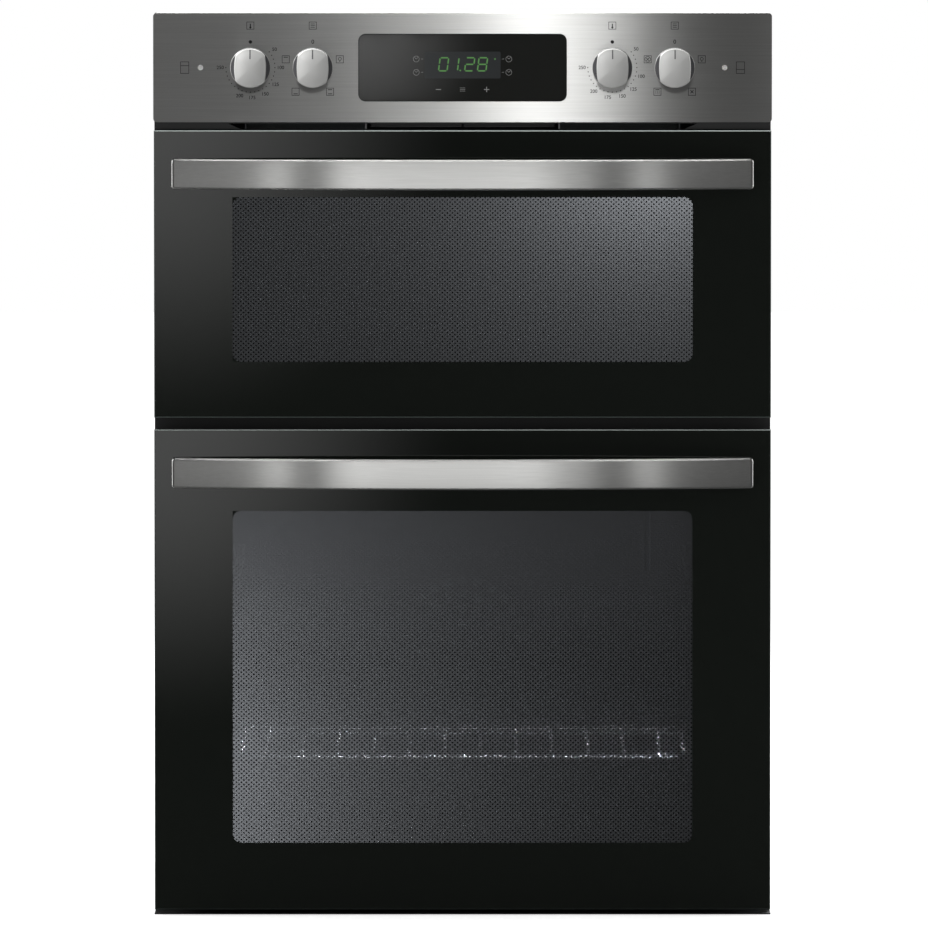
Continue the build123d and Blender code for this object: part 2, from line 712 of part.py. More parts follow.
def outer_glass(oven):
    pane = block(-DOOR_HALF, DOOR_HALF, GLASS_Y, GLASS_BACK_Y, oven.door_z, oven.door_top)
    pane = chamfer(pane.faces().sort_by(Axis.Y)[0].edges(), GLASS_EDGE)
    for side in LEFT_RIGHT:
        hole = SCREW_RADIUS + CLEARANCE
        pane -= along_y(side * screw_x(), GLASS_Y, GLASS_BACK_Y, oven.handle_z, hole)
    return pane


def trim_levels(oven):
    """Bottom and top of the inner glass, between the two trims."""
    low = oven.pivot_z + BOTTOM_TRIM_RISE
    high = oven.door_top - TRIM_INSET - TOP_TRIM_HEIGHT
    return low, high


def inner_glass(oven):
    low, high = trim_levels(oven)
    return block(-RAIL_INNER_X, RAIL_INNER_X, DOOR_BACK_Y - GLASS, DOOR_BACK_Y, low, high)


def side_rails(oven):
    z0 = oven.pivot_z - TRIM_FOOT
    z1 = oven.door_top - TRIM_INSET
    right = block(RAIL_INNER_X, RAIL_OUTER_X, GLASS_BACK_Y, DOOR_BACK_Y, z0, z1)
    return group([right, mirror(right, about=Plane.YZ)])


def trim_slots(half, z0, z1):
    """A row of air slots that run up through a door trim."""
    pitch = 2 * half / (TRIM_SLOT_COUNT + 1)
    y = GLASS_BACK_Y + TRIM_SLOT_SETBACK
    slots = []
    for i in range(TRIM_SLOT_COUNT):
        x = (i - (TRIM_SLOT_COUNT - 1) / 2) * pitch
        slots.append(Pos(x, y) * SlotOverall(TRIM_SLOT_LENGTH, TRIM_SLOT_WIDTH))
    return extrude(Pos(0, 0, z0) * (Sketch() + slots), amount=z1 - z0)


def top_trim(oven):
    z0 = trim_levels(oven)[1]
    z1 = oven.door_top - TRIM_INSET
    bar = block(-RAIL_INNER_X, RAIL_INNER_X, GLASS_BACK_Y, DOOR_BACK_Y, z0, z1)
    return bar - trim_slots(RAIL_INNER_X, z0, z1)


def bottom_trim(oven):
    z0 = oven.pivot_z - TRIM_FOOT
    z1 = trim_levels(oven)[0]
    half = HINGE_X - CHANNEL_WIDTH / 2
    bar = block(-half, half, GLASS_BACK_Y, DOOR_BACK_Y, z0, z1)
    return bar - trim_slots(half, z0, z1)


def hinge_channel(oven):
    """The right channel: two cheeks and a web, open to the back for the arm."""
    x0 = HINGE_X - CHANNEL_WIDTH / 2
    x1 = HINGE_X + CHANNEL_WIDTH / 2
    y1 = GLASS_BACK_Y + CHANNEL_DEPTH
    z0 = oven.pivot_z - CHANNEL_FOOT
    z1 = oven.pivot_z + CHANNEL_RISE
    channel = block(x0, x1, GLASS_BACK_Y, y1, z0, z1)
    slot = (x0 + CHANNEL_WALL, x1 - CHANNEL_WALL, GLASS_BACK_Y + CHANNEL_WEB, y1)
    channel -= block(*slot, z0, z1)
    return channel - along_x(x0, x1, PIVOT_Y, oven.pivot_z, PIN_RADIUS)


def hinges(oven):
    x0 = HINGE_X - CHANNEL_WIDTH / 2
    x1 = HINGE_X + CHANNEL_WIDTH / 2
    channel = hinge_channel(oven)
    pin = along_x(x0, x1, PIVOT_Y, oven.pivot_z, PIN_RADIUS)
    solids = [channel, pin]
    return group(solids + [mirror(solid, about=Plane.YZ) for solid in solids])


def hinge_arms():
    """Arms that hook into the case and carry the doors on their pins."""
    arms = []
    for oven in OVENS:
        x0 = HINGE_X - ARM_THICKNESS / 2
        x1 = HINGE_X + ARM_THICKNESS / 2
        z0 = oven.pivot_z - ARM_HEIGHT / 2
        z1 = oven.pivot_z + ARM_HEIGHT / 2
        end = CABINET_Y + ARM_REACH
        arm = block(x0, x1, PIVOT_Y, end, z0, z1)
        arm += along_x(x0, x1, PIVOT_Y, oven.pivot_z, ARM_EYE_RADIUS)
        notch = end - ARM_HEIGHT
        arm -= block(x0, x1, notch, notch + ARM_NOTCH, z0, z0 + ARM_NOTCH)
        arm -= along_x(x0, x1, PIVOT_Y, oven.pivot_z, PIN_RADIUS + RUNNING_FIT)
        arms += [arm, mirror(arm, about=Plane.YZ)]
    return group(arms)


def hinge_receivers():
    """Pockets behind the front frame, each with a bar that the arm's notch drops on."""
    receivers = []
    for oven in OVENS:
        gap0 = HINGE_X - ARM_THICKNESS / 2 - CLEARANCE
        gap1 = HINGE_X + ARM_THICKNESS / 2 + CLEARANCE
        x0 = gap0 - RECEIVER_WALL
        x1 = BODY_HALF - CASE_SHEET
        z0 = oven.pivot_z - ARM_HEIGHT / 2 - CLEARANCE
        z1 = oven.pivot_z + ARM_HEIGHT / 2 + CLEARANCE
        y1 = CABINET_Y + RECEIVER_REACH
        pocket = block(x0, x1, CABINET_Y, y1, z0 - RECEIVER_WALL, z1 + RECEIVER_WALL)
        pocket -= block(gap0, gap1, CABINET_Y, CABINET_Y + ARM_REACH + CLEARANCE, z0, z1)
        notch = CABINET_Y + ARM_REACH - ARM_HEIGHT + CLEARANCE
        bar_top = oven.pivot_z - ARM_HEIGHT / 2 + ARM_NOTCH - CLEARANCE
        pocket += block(gap0, gap1, notch, notch + ARM_NOTCH - 2 * CLEARANCE, z0, bar_top)
        receivers += [pocket, mirror(pocket, about=Plane.YZ)]
    return group(receivers)


# Handles, bowed out from the glass
def bow_arc(reach, half):
    """The middle and the ends of an arc that bows out from the glass."""
    return [(-half, GLASS_Y - reach + HANDLE_BOW), (0, GLASS_Y - reach), (half, GLASS_Y - reach + HANDLE_BOW)]


def door_handle(oven):
    half = HANDLE_HALF
    back_reach = HANDLE_BOW + HANDLE_END_GAP
    front = bow_arc(back_reach + HANDLE_THICKNESS, half)
    back = bow_arc(back_reach, half)
    outline = ThreePointArc(*front) + Line(front[2], back[2])
    outline += ThreePointArc(back[2], back[1], back[0]) + Line(back[0], front[0])
    z0 = oven.handle_z - HANDLE_HEIGHT / 2
    z1 = oven.handle_z + HANDLE_HEIGHT / 2
    bow = extrude(Pos(0, 0, z0) * make_face(outline), amount=HANDLE_HEIGHT)
    bar = bow & upright(panel(half, z0, z1, HANDLE_CORNER), front[1][1], GLASS_Y)
    face = bar.faces().sort_by(Axis.Y)[0]
    return fillet(face.edges(), HANDLE_EDGE)


def handle_fixings(oven):
    """A post at each end, and the screw that pulls it against the glass from inside."""
    bar = Pos(0, HANDLE_SEAT, 0) * door_handle(oven)
    x = screw_x()
    z0 = oven.handle_z - POST_HEIGHT / 2
    z1 = oven.handle_z + POST_HEIGHT / 2
    reach = HANDLE_BOW + HANDLE_END_GAP
    post = block(x - POST_WIDTH / 2, x + POST_WIDTH / 2, GLASS_Y - reach, GLASS_Y, z0, z1) - bar
    post = post.solids().sort_by(Axis.Y)[-1]
    tip = GLASS_Y - SCREW_BITE
    post -= along_y(x, tip, GLASS_Y, oven.handle_z, SCREW_RADIUS)
    screw = along_y(x, tip, GLASS_BACK_Y, oven.handle_z, SCREW_RADIUS)
    screw += along_y(x, GLASS_BACK_Y, GLASS_BACK_Y + SCREW_HEAD_HEIGHT, oven.handle_z, SCREW_HEAD_RADIUS)
    solids = [post, screw]
    return group(solids + [mirror(solid, about=Plane.YZ) for solid in solids])


# Control fascia and what is behind it
KNOBS = (
    ("top_temperature_knob", -KNOB_OUTER_X),
    ("top_function_knob", -KNOB_INNER_X),
    ("main_temperature_knob", KNOB_INNER_X),
    ("main_function_knob", KNOB_OUTER_X),
)
TEMPERATURE_X = (-KNOB_OUTER_X, KNOB_INNER_X)
FUNCTION_X = (-KNOB_INNER_X, KNOB_OUTER_X)


def clock_outline(grow):
    z0 = FASCIA_MID_Z - CLOCK_HEIGHT / 2 - grow
    z1 = FASCIA_MID_Z + CLOCK_HEIGHT / 2 + grow
    return panel(CLOCK_WIDTH / 2 + grow, z0, z1, CLOCK_CORNER + grow)


def control_fascia():
    half = FRONT_HALF
    tray = upright(panel(half, FASCIA_Z, FRONT_TOP, FASCIA_CORNER), GLASS_Y, FRAME_Y)
    face = GLASS_Y + FASCIA_SHEET
    corner = FASCIA_CORNER - FASCIA_SHEET
    inner = panel(half - FASCIA_SHEET, FASCIA_Z + FASCIA_SHEET, FRONT_TOP - FASCIA_SHEET, corner)
    tray -= upright(inner, face, FRAME_Y)
    tray -= upright(clock_outline(CLOCK_CLEARANCE), GLASS_Y, face)
    for _, x in KNOBS:
        tray -= along_y(x, GLASS_Y, face, FASCIA_MID_Z, SPINDLE_HOLE)
    for side in LEFT_RIGHT:
        tray -= along_y(side * PILOT_X, GLASS_Y, face, FASCIA_MID_Z, PILOT_RADIUS + RUNNING_FIT)
    return tray


def pilot_lamps():
    lamps = []
    for side in LEFT_RIGHT:
        x = side * PILOT_X
        face = GLASS_Y + FASCIA_SHEET
        barrel = along_y(x, GLASS_Y - PILOT_DOME, face, FASCIA_MID_Z, PILOT_RADIUS)
        barrel = fillet(barrel.faces().sort_by(Axis.Y)[0].edges(), PILOT_DOME)
        body = along_y(x, face, BRACKET_Y, FASCIA_MID_Z, PILOT_RADIUS + PILOT_RIM)
        lamps.append(barrel + body)
    return group(lamps)


def clock_window():
    front = GLASS_Y - CLOCK_PROUD
    pane = upright(clock_outline(0), front, front + CLOCK_GLASS)
    return fillet(pane.faces().sort_by(Axis.Y)[0].edges(), CLOCK_EDGE)


def clock_module():
    front = GLASS_Y - CLOCK_PROUD + CLOCK_GLASS
    half = CLOCK_WIDTH / 2 - MODULE_MARGIN
    z0 = FASCIA_MID_Z - CLOCK_HEIGHT / 2 + MODULE_MARGIN
    z1 = FASCIA_MID_Z + CLOCK_HEIGHT / 2 - MODULE_MARGIN
    return block(-half, half, front, BRACKET_Y, z0, z1)


def control_bracket():
    half = BRACKET_HALF
    z0 = FASCIA_Z + BRACKET_MARGIN
    z1 = FRONT_TOP - BRACKET_MARGIN
    back = BRACKET_Y + BRACKET_SHEET
    bracket = block(-half, half, BRACKET_Y, back, z0, z1)
    for side in LEFT_RIGHT:
        x0, x1 = sorted((side * half, side * (half - BRACKET_SHEET)))
        bracket += block(x0, x1, back, FRAME_Y, z0, z1)
    for _, x in KNOBS:
        bracket -= along_y(x, BRACKET_Y, back, FASCIA_MID_Z, SPINDLE_HOLE)
    return bracket


def switch_body(x, half):
    """A square switch body behind the bracket, bored for its spindle."""
    front = BRACKET_Y + BRACKET_SHEET
    box = (x - half, x + half, front, front + SWITCH_DEPTH, FASCIA_MID_Z - half, FASCIA_MID_Z + half)
    bore = along_y(x, front, front + SPINDLE_BITE, FASCIA_MID_Z, SPINDLE_RADIUS + RUNNING_FIT)
    return block(*box) - bore


def thermostats():
    solids = [switch_body(x, THERMOSTAT_SIZE / 2) for x in TEMPERATURE_X]
    for oven in OVENS:
        z1 = oven.cavity_top - PROBE_TOP
        y = CAVITY_BACK_Y - PROBE_RADIUS - CLEARANCE
        solids.append(along_z(PROBE_X, y, z1 - PROBE_LENGTH, z1, PROBE_RADIUS))
    return group(solids)


def selector_switches():
    return group([switch_body(x, SWITCH_SIZE / 2) for x in FUNCTION_X])


def knob(x):
    """A knob with its skirt and grip, and the spindle that turns with it."""
    back = GLASS_Y - KNOB_GAP
    skirt_y = back - KNOB_SKIRT
    front = GLASS_Y - KNOB_REACH
    skirt = along_y(0, skirt_y, back, 0, KNOB_RADIUS)
    barrel = along_y(0, front, skirt_y, 0, KNOB_RADIUS - KNOB_STEP)
    offset = KNOB_SIDE_RADIUS - KNOB_GRIP_WIDTH / 2
    for side in LEFT_RIGHT:
        barrel &= along_y(side * offset, front, skirt_y, 0, KNOB_SIDE_RADIUS)
    barrel = fillet(barrel.faces().sort_by(Axis.Y)[0].edges(), KNOB_EDGE)
    cap = skirt + barrel
    top = KNOB_RADIUS - KNOB_EDGE
    half = KNOB_MARK_WIDTH / 2
    cap -= block(-half, half, front, front + KNOB_MARK_DEPTH, top - KNOB_MARK_LENGTH, top)
    socket = front + KNOB_FACE
    cap -= along_y(0, socket, back, 0, SPINDLE_RADIUS)
    end = BRACKET_Y + BRACKET_SHEET + SPINDLE_BITE - CLEARANCE
    spindle = along_y(0, socket, end, 0, SPINDLE_RADIUS)
    place = Pos(x, 0, FASCIA_MID_Z)
    return group([place * cap, place * spindle])


# Cooling air, from the blower to the slot under the fascia
def vent_strip():
    half = FRONT_HALF - FASCIA_SHEET
    z0 = TOP_DOOR_TOP + VENT_STRIP_CLEAR
    bar = block(-half, half, GLASS_Y + VENT_STRIP_SETBACK, FRAME_Y, z0, FASCIA_Z)
    return bar - upright(vent_slot_outline(z0, FASCIA_Z - VENT_STRIP_BAR), GLASS_Y, FRAME_Y)


def compartment_floor():
    half = BODY_HALF - CASE_SHEET
    return block(-half, half, CABINET_Y, REAR_Y - CASE_SHEET, FLOOR_Z, FLOOR_Z + FLOOR_SHEET)


def cooling_duct():
    half = DUCT_HALF
    y1 = CABINET_Y + DUCT_LENGTH
    z1 = DUCT_Z + DUCT_HEIGHT
    duct = block(-half, half, CABINET_Y, y1, DUCT_Z, z1)
    inner = half - DUCT_SHEET
    duct -= block(-inner, inner, CABINET_Y, y1, DUCT_Z + DUCT_SHEET, z1 - DUCT_SHEET)
    wing = BLOWER_HALF_LENGTH
    for side in LEFT_RIGHT:
        x0, x1 = sorted((side * wing, side * half))
        duct += block(x0, x1, y1 - DUCT_SHEET, y1, DUCT_Z, z1)
    return duct


def scroll_section(shrink):
    """The round of the scroll with its throat, drawn in Y and Z about the wheel."""
    radius = SCROLL_RADIUS - shrink
    throat_low = -SCROLL_RADIUS + shrink
    throat_high = -SCROLL_RADIUS + THROAT_HEIGHT - shrink
    middle = (throat_low + throat_high) / 2
    throat = Pos(-THROAT_LENGTH / 2, middle) * Rectangle(THROAT_LENGTH, throat_high - throat_low)
    return Circle(radius) + throat


def blower_housing():
    section = Plane(origin=(-BLOWER_HALF_LENGTH, BLOWER_Y, BLOWER_Z), x_dir=(0, 1, 0), z_dir=(1, 0, 0))
    length = 2 * BLOWER_HALF_LENGTH
    scroll = extrude(section * scroll_section(0), amount=length)
    hollow = section.offset(SCROLL_SHEET) * scroll_section(SCROLL_SHEET)
    scroll -= extrude(hollow, amount=length - 2 * SCROLL_SHEET)
    half = BLOWER_HALF_LENGTH - 2 * SCROLL_SHEET
    scroll -= block(-half, half, BLOWER_Y, BLOWER_Y + INTAKE_DEPTH, BLOWER_Z, BLOWER_Z + SCROLL_RADIUS)
    bore = AXLE_RADIUS + RUNNING_FIT
    return scroll - along_x(-BLOWER_HALF_LENGTH, BLOWER_HALF_LENGTH, BLOWER_Y, BLOWER_Z, bore)


def blower_wheel():
    half = BLOWER_HALF_LENGTH - SCROLL_SHEET - WHEEL_END_GAP
    wheel = along_x(-BLOWER_HALF_LENGTH, BLOWER_HALF_LENGTH + AXLE_BITE, BLOWER_Y, BLOWER_Z, AXLE_RADIUS)
    for x in (-half, -WHEEL_SHEET / 2, half - WHEEL_SHEET):
        wheel += along_x(x, x + WHEEL_SHEET, BLOWER_Y, BLOWER_Z, WHEEL_RADIUS)
    root = WHEEL_RADIUS - WHEEL_BLADE_DEPTH
    tip = WHEEL_RADIUS - WHEEL_BLADE_INSET
    blade = block(-half, half, -WHEEL_SHEET / 2, WHEEL_SHEET / 2, root, tip)
    blades = []
    for i in range(WHEEL_BLADE_COUNT):
        turn = 360 * i / WHEEL_BLADE_COUNT
        blades.append(Pos(0, BLOWER_Y, BLOWER_Z) * Rot(turn, 0, 0) * blade)
    return wheel + blades


def blower_motor():
    x0 = BLOWER_HALF_LENGTH
    x1 = x0 + BLOWER_MOTOR_LENGTH
    motor = along_x(x0, x1, BLOWER_Y, BLOWER_Z, BLOWER_MOTOR_RADIUS)
    bore = AXLE_RADIUS + RUNNING_FIT
    return motor - along_x(x0, x0 + AXLE_BITE + CLEARANCE, BLOWER_Y, BLOWER_Z, bore)


# Mains connection
def terminal_box():
    half = TERMINAL_WIDTH / 2
    z0 = FASCIA_MID_Z - TERMINAL_HEIGHT / 2
    z1 = FASCIA_MID_Z + TERMINAL_HEIGHT / 2
    rim = TERMINAL_FLANGE
    wall = TERMINAL_WALL
    flange = (TERMINAL_X - half - rim, TERMINAL_X + half + rim, REAR_Y, REAR_Y + wall)
    box = block(*flange, z0 - rim, z1 + rim)
    box += block(TERMINAL_X - half, TERMINAL_X + half, REAR_Y - TERMINAL_DEPTH, REAR_Y, z0, z1)
    hollow = (TERMINAL_X - half + wall, TERMINAL_X + half - wall, REAR_Y - TERMINAL_DEPTH, REAR_Y)
    box -= block(*hollow, z0 + wall, z1 - wall)
    return box - along_y(TERMINAL_X, REAR_Y, REAR_Y + wall, FASCIA_MID_Z, GLAND_RADIUS)


def cable_gland():
    y0 = REAR_Y
    seat = REAR_Y + TERMINAL_WALL
    y1 = seat + GLAND_REACH
    gland = along_y(TERMINAL_X, y0, y1, FASCIA_MID_Z, GLAND_RADIUS)
    nut_plane = Plane(origin=(TERMINAL_X, seat, FASCIA_MID_Z), z_dir=(0, 1, 0))
    gland += extrude(nut_plane * RegularPolygon(GLAND_NUT_RADIUS, 6), amount=GLAND_NUT)
    return gland - along_y(TERMINAL_X, y0, y1, FASCIA_MID_Z, GLAND_BORE)


# Every node and its solids
NODES = {
    "base_plate": base_plate(),
    "side_panels": side_panels(),
    "rear_panel": rear_panel(),
    "top_cover": top_cover(),
    "case_screws": case_screws(),
    "front_frame": front_frame(),
    "cavity_insulation": cavity_insulation(),
    "hinge_arms": hinge_arms(),
    "hinge_receivers": hinge_receivers(),
    "top_grill_element": top_grill_element(),
    "top_base_element": top_base_element(),
    "main_ring_element": main_ring_element(),
    "lamp_lenses": lamp_lenses(),
    "lamp_holders": lamp_holders(),
    "fan_cover": fan_cover(),
    "oven_fan_blade": oven_fan_blade(),
    "fan_motor": fan_motor(),
    "control_fascia": control_fascia(),
    "control_bracket": control_bracket(),
    "clock_window": clock_window(),
    "clock_module": clock_module(),
    "pilot_lamps": pilot_lamps(),
    "thermostats": thermostats(),
    "selector_switches": selector_switches(),
    "vent_strip": vent_strip(),
    "compartment_floor": compartment_floor(),
    "cooling_duct": cooling_duct(),
    "blower_housing": blower_housing(),
    "blower_wheel": blower_wheel(),
    "blower_motor": blower_motor(),
    "terminal_box": terminal_box(),
    "cable_gland": cable_gland(),
}
for knob_name, knob_x in KNOBS:
    NODES[knob_name] = knob(knob_x)
for oven in OVENS:
    NODES[oven.name + "_cavity"] = cavity(oven)
    NODES[oven.name + "_door_seal"] = door_seal(oven)
    NODES[oven.name + "_rack_supports"] = rack_supports(oven)
    NODES[oven.name + "_shelf"] = shelf(oven)
    NODES[oven.name + "_door_outer_glass"] = outer_glass(oven)
    NODES[oven.name + "_door_inner_glass"] = inner_glass(oven)
    NODES[oven.name + "_door_side_rails"] = side_rails(oven)
    NODES[oven.name + "_door_top_trim"] = top_trim(oven)
    NODES[oven.name + "_door_bottom_trim"] = bottom_trim(oven)
    NODES[oven.name + "_door_hinges"] = hinges(oven)
    NODES[oven.name + "_door_handle"] = door_handle(oven)
    NODES[oven.name + "_handle_fixings"] = handle_fixings(oven)

for node_name, solids in NODES.items():
    export_step(solids, f"parts/{node_name}.step")
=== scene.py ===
import bmesh
import bpy
import math
from mathutils import Matrix, Vector, noise


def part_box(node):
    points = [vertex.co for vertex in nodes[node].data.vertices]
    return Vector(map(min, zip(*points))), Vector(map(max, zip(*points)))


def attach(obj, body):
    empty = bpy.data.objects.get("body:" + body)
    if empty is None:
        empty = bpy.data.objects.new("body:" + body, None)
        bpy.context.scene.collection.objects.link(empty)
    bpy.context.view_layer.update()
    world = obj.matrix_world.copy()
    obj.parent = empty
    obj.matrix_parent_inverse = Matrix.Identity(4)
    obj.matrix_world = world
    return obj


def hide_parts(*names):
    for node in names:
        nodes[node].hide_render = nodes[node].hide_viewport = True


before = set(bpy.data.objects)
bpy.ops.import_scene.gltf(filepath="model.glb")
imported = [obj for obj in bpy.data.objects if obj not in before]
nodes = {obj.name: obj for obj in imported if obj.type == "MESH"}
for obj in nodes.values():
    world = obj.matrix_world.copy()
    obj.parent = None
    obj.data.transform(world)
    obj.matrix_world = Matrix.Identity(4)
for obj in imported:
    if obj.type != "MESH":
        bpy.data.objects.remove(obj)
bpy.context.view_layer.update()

# Case: base, sides, back and top, with the shelf, bracket and air duct of the controls
# compartment. Galvanised steel sheet of about 1 mm, folded and screwed together.


def linear(hex_colour):
    """An sRGB hex colour as linear red, green, blue and alpha."""
    channels = [int(hex_colour[i : i + 2], 16) / 255 for i in (1, 3, 5)]
    return [c / 12.92 if c <= 0.04045 else ((c + 0.055) / 1.055) ** 2.4 for c in channels] + [1.0]


def add_node(material, kind, sockets, **options):
    """Adds a shader node: options are its settings, sockets are plain values or links to other nodes."""
    tree = material.node_tree
    node = tree.nodes.new(kind)
    for name, value in options.items():
        setattr(node, name, value)
    for key, value in sockets.items():
        if isinstance(value, bpy.types.NodeSocket):
            tree.links.new(value, node.inputs[key])
        else:
            node.inputs[key].default_value = value
    return node


def new_material(name):
    """A material with no nodes in it yet."""
    material = bpy.data.materials.new(name)
    material.use_nodes = True
    material.node_tree.nodes.clear()
    return material


def coat(material, *names):
    """Gives the material to pieces of the frame."""
    for name in names:
        nodes[name].data.materials.clear()
        nodes[name].data.materials.append(material)


# The first and second colour sockets of a Mix node, and its colour output.
MIX_A, MIX_B, MIXED = 6, 7, 2


def patterned(
    name, pattern, texture, finish, tones=None, shine=None, relief=None, tinted="Base Color", **options
):
    """A material that follows a texture: between two tones or two roughnesses, or in relief
    of some strength and depth. The finish holds what is the same all over it."""
    material = new_material(name)
    kind, output = pattern
    place = add_node(material, "ShaderNodeTexCoord", {})
    texture = {"Vector": place.outputs["Object"], **texture}
    figure = add_node(material, kind, texture, **options).outputs[output]
    sockets = dict(finish)
    if tones:
        colours = {MIX_A: linear(tones[0]), MIX_B: linear(tones[1])}
        tone = add_node(material, "ShaderNodeMix", {"Factor": figure, **colours}, data_type="RGBA")
        sockets[tinted] = tone.outputs[MIXED]
    if shine:
        least, most = shine
        gloss = add_node(material, "ShaderNodeMapRange", {"Value": figure, "To Min": least, "To Max": most})
        sockets["Roughness"] = gloss.outputs["Result"]
    if relief:
        strength, depth = relief
        form = {"Height": figure, "Strength": strength, "Distance": depth}
        sockets["Normal"] = add_node(material, "ShaderNodeBump", form).outputs["Normal"]
    shader = add_node(material, "ShaderNodeBsdfPrincipled", sockets)
    add_node(material, "ShaderNodeOutputMaterial", {"Surface": shader.outputs["BSDF"]})
    return material


MM = 0.001
CRYSTALS = ("ShaderNodeTexVoronoi", "Color")

# Hot dip galvanised steel: dull grey zinc in crystals about 14 mm across, each with its own shine.
SPANGLE = 14 * MM
galvanised = patterned(
    "galvanised_steel",
    CRYSTALS,
    {"Scale": 1 / SPANGLE},
    {"Metallic": 0.85},
    tones=("#8f9294", "#a6a9ab"),
    shine=(0.40, 0.56),
)
coat(galvanised, "base_plate", "side_panels", "rear_panel", "top_cover")
coat(galvanised, "control_bracket", "compartment_floor", "cooling_duct")

# Case screws, and the hinges: channels in the doors, hooked arms and the pockets they drop into.
# Pressed steel, zinc plated after forming, fixed with screws and pins.

# Zinc plate: a bright grey metal with a faint yellow cast and cloudy patches a few centimetres wide.
CLOUD = 30 * MM
CLOUDS = ("ShaderNodeTexNoise", "Fac")
zinc_plate = patterned(
    "zinc_plated_steel",
    CLOUDS,
    {"Scale": 1 / CLOUD},
    {"Base Color": linear("#b9b7ae"), "Metallic": 1.0},
    shine=(0.22, 0.45),
)
coat(zinc_plate, "case_screws", "hinge_arms", "hinge_receivers", "top_door_hinges", "main_door_hinges")
coat(zinc_plate, "top_handle_fixings", "main_handle_fixings")

# Front frame that hides the gap round both cavities, and the strip with the air outlet under the fascia.
# Steel sheet with a baked black enamel, spot welded to the case.

# Black stove enamel: a deep satin black with a slight orange peel of 2 mm.
ORANGE_PEEL = 2 * MM
black_enamel = patterned(
    "black_stove_enamel",
    CLOUDS,
    {"Scale": 1 / ORANGE_PEEL},
    {"Base Color": linear("#2c2c2d"), "Roughness": 0.38},
    relief=(0.05, 0.1 * MM),
)
coat(black_enamel, "front_frame", "vent_strip")

# The two cavities, and the cover over the fan at the back of the main one.
# Pressed steel liners, fired with a dark grey vitreous enamel that wipes clean.

# Vitreous enamel: smooth glassy grey, with pale flecks under a millimetre wide about 7 mm apart.
# A fleck's radius is given as a share of that spacing.
FLECK_SPACING = 7 * MM
FLECK_SIZE = 0.09
cavity_enamel = new_material("vitreous_enamel")
place = add_node(cavity_enamel, "ShaderNodeTexCoord", {})
flecks = add_node(
    cavity_enamel, "ShaderNodeTexVoronoi", {"Vector": place.outputs["Object"], "Scale": 1 / FLECK_SPACING}
)
fleck = add_node(
    cavity_enamel,
    "ShaderNodeMapRange",
    {"Value": flecks.outputs["Distance"], "From Max": FLECK_SIZE, "To Min": 1.0, "To Max": 0.0},
)
tone = add_node(
    cavity_enamel,
    "ShaderNodeMix",
    {"Factor": fleck.outputs["Result"], MIX_A: linear("#484a4e"), MIX_B: linear("#9ea3a8")},
    data_type="RGBA",
)
shader = add_node(
    cavity_enamel, "ShaderNodeBsdfPrincipled", {"Base Color": tone.outputs[MIXED], "Roughness": 0.32}
)
add_node(cavity_enamel, "ShaderNodeOutputMaterial", {"Surface": shader.outputs["BSDF"]})
coat(cavity_enamel, "top_cavity", "main_cavity", "fan_cover")

# Blankets of mineral wool wrapped round each cavity, held by the case.
# They are soft, so their faces are lumpy and their edges round.


def make_piece(name, mesh, materials, body):
    """Puts a finished mesh into the oven as a piece that rides on a body."""
    for material in materials:
        mesh.materials.append(material)
    thing = bpy.data.objects.new(name, mesh)
    bpy.context.scene.collection.objects.link(thing)
    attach(thing, body)
    return thing


# Mineral wool: matt yellowish fibres, in tufts about 5 mm long.
TUFT = 5 * MM
mineral_wool = patterned(
    "mineral_wool",
    CLOUDS,
    {"Scale": 1 / TUFT, "Detail": 4.0, "Distortion": 1.5},
    {"Roughness": 0.95},
    tones=("#8d805a", "#d8cca4"),
    relief=(0.6, 1 * MM),
)

WOOL_GRID = 10 * MM
LUMP_WIDTH = 45 * MM
LUMP_DEPTH = 2 * MM
LUMP_SEED = 7
wool_form = bpy.data.objects.new("wool_form", nodes["cavity_insulation"].data.copy())
bpy.context.scene.collection.objects.link(wool_form)
felt = wool_form.modifiers.new("felt", "REMESH")
felt.mode = "VOXEL"
felt.voxel_size = WOOL_GRID
wool_mesh = bpy.data.meshes.new_from_object(wool_form.evaluated_get(bpy.context.evaluated_depsgraph_get()))
bpy.data.objects.remove(wool_form)
noise.seed_set(LUMP_SEED)
for vertex in wool_mesh.vertices:
    vertex.co += LUMP_DEPTH * noise.noise_vector(vertex.co / LUMP_WIDTH)

# The wool lies on the liners: what would sink through one is pushed back out of its nearest wall,
# and at the edges and corners of a liner out of both or all three walls.
WALL_GAP = 0.4 * MM
LINER_BACK = 30 * MM
EDGE_REACH = 13 * MM
for oven in ("top", "main"):
    liner = [vertex.co for vertex in nodes[oven + "_cavity"].data.vertices]
    back = max(point.y for point in liner)
    liner = [point for point in liner if point.y > back - LINER_BACK]
    half = max(point.x for point in liner) + WALL_GAP
    roof = max(point.z for point in liner) + WALL_GAP
    floor = min(point.z for point in liner) - WALL_GAP
    back += WALL_GAP
    for vertex in wool_mesh.vertices:
        x, y, z = vertex.co
        depths = {"side": half - abs(x), "roof": roof - z, "floor": z - floor, "back": back - y}
        nearest = min(depths.values())
        if nearest < -EDGE_REACH / 2:
            continue
        sunk = [wall for wall in depths if 0 < depths[wall] <= max(nearest, EDGE_REACH)]
        if "side" in sunk:
            vertex.co.x = math.copysign(half, x)
        if "back" in sunk:
            vertex.co.y = back
        if "roof" in sunk:
            vertex.co.z = roof
        if "floor" in sunk:
            vertex.co.z = floor
wool_mesh.shade_smooth()
wool_mesh.materials.clear()
wool_blankets = make_piece("wool_blankets", wool_mesh, [mineral_wool], "case")
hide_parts("cavity_insulation")

# Heating elements: the grill in the roof of the top cavity, the one under its floor,
# and the ring round the fan. Steel tubes packed with mineral powder, bent to shape and brazed to a plate.

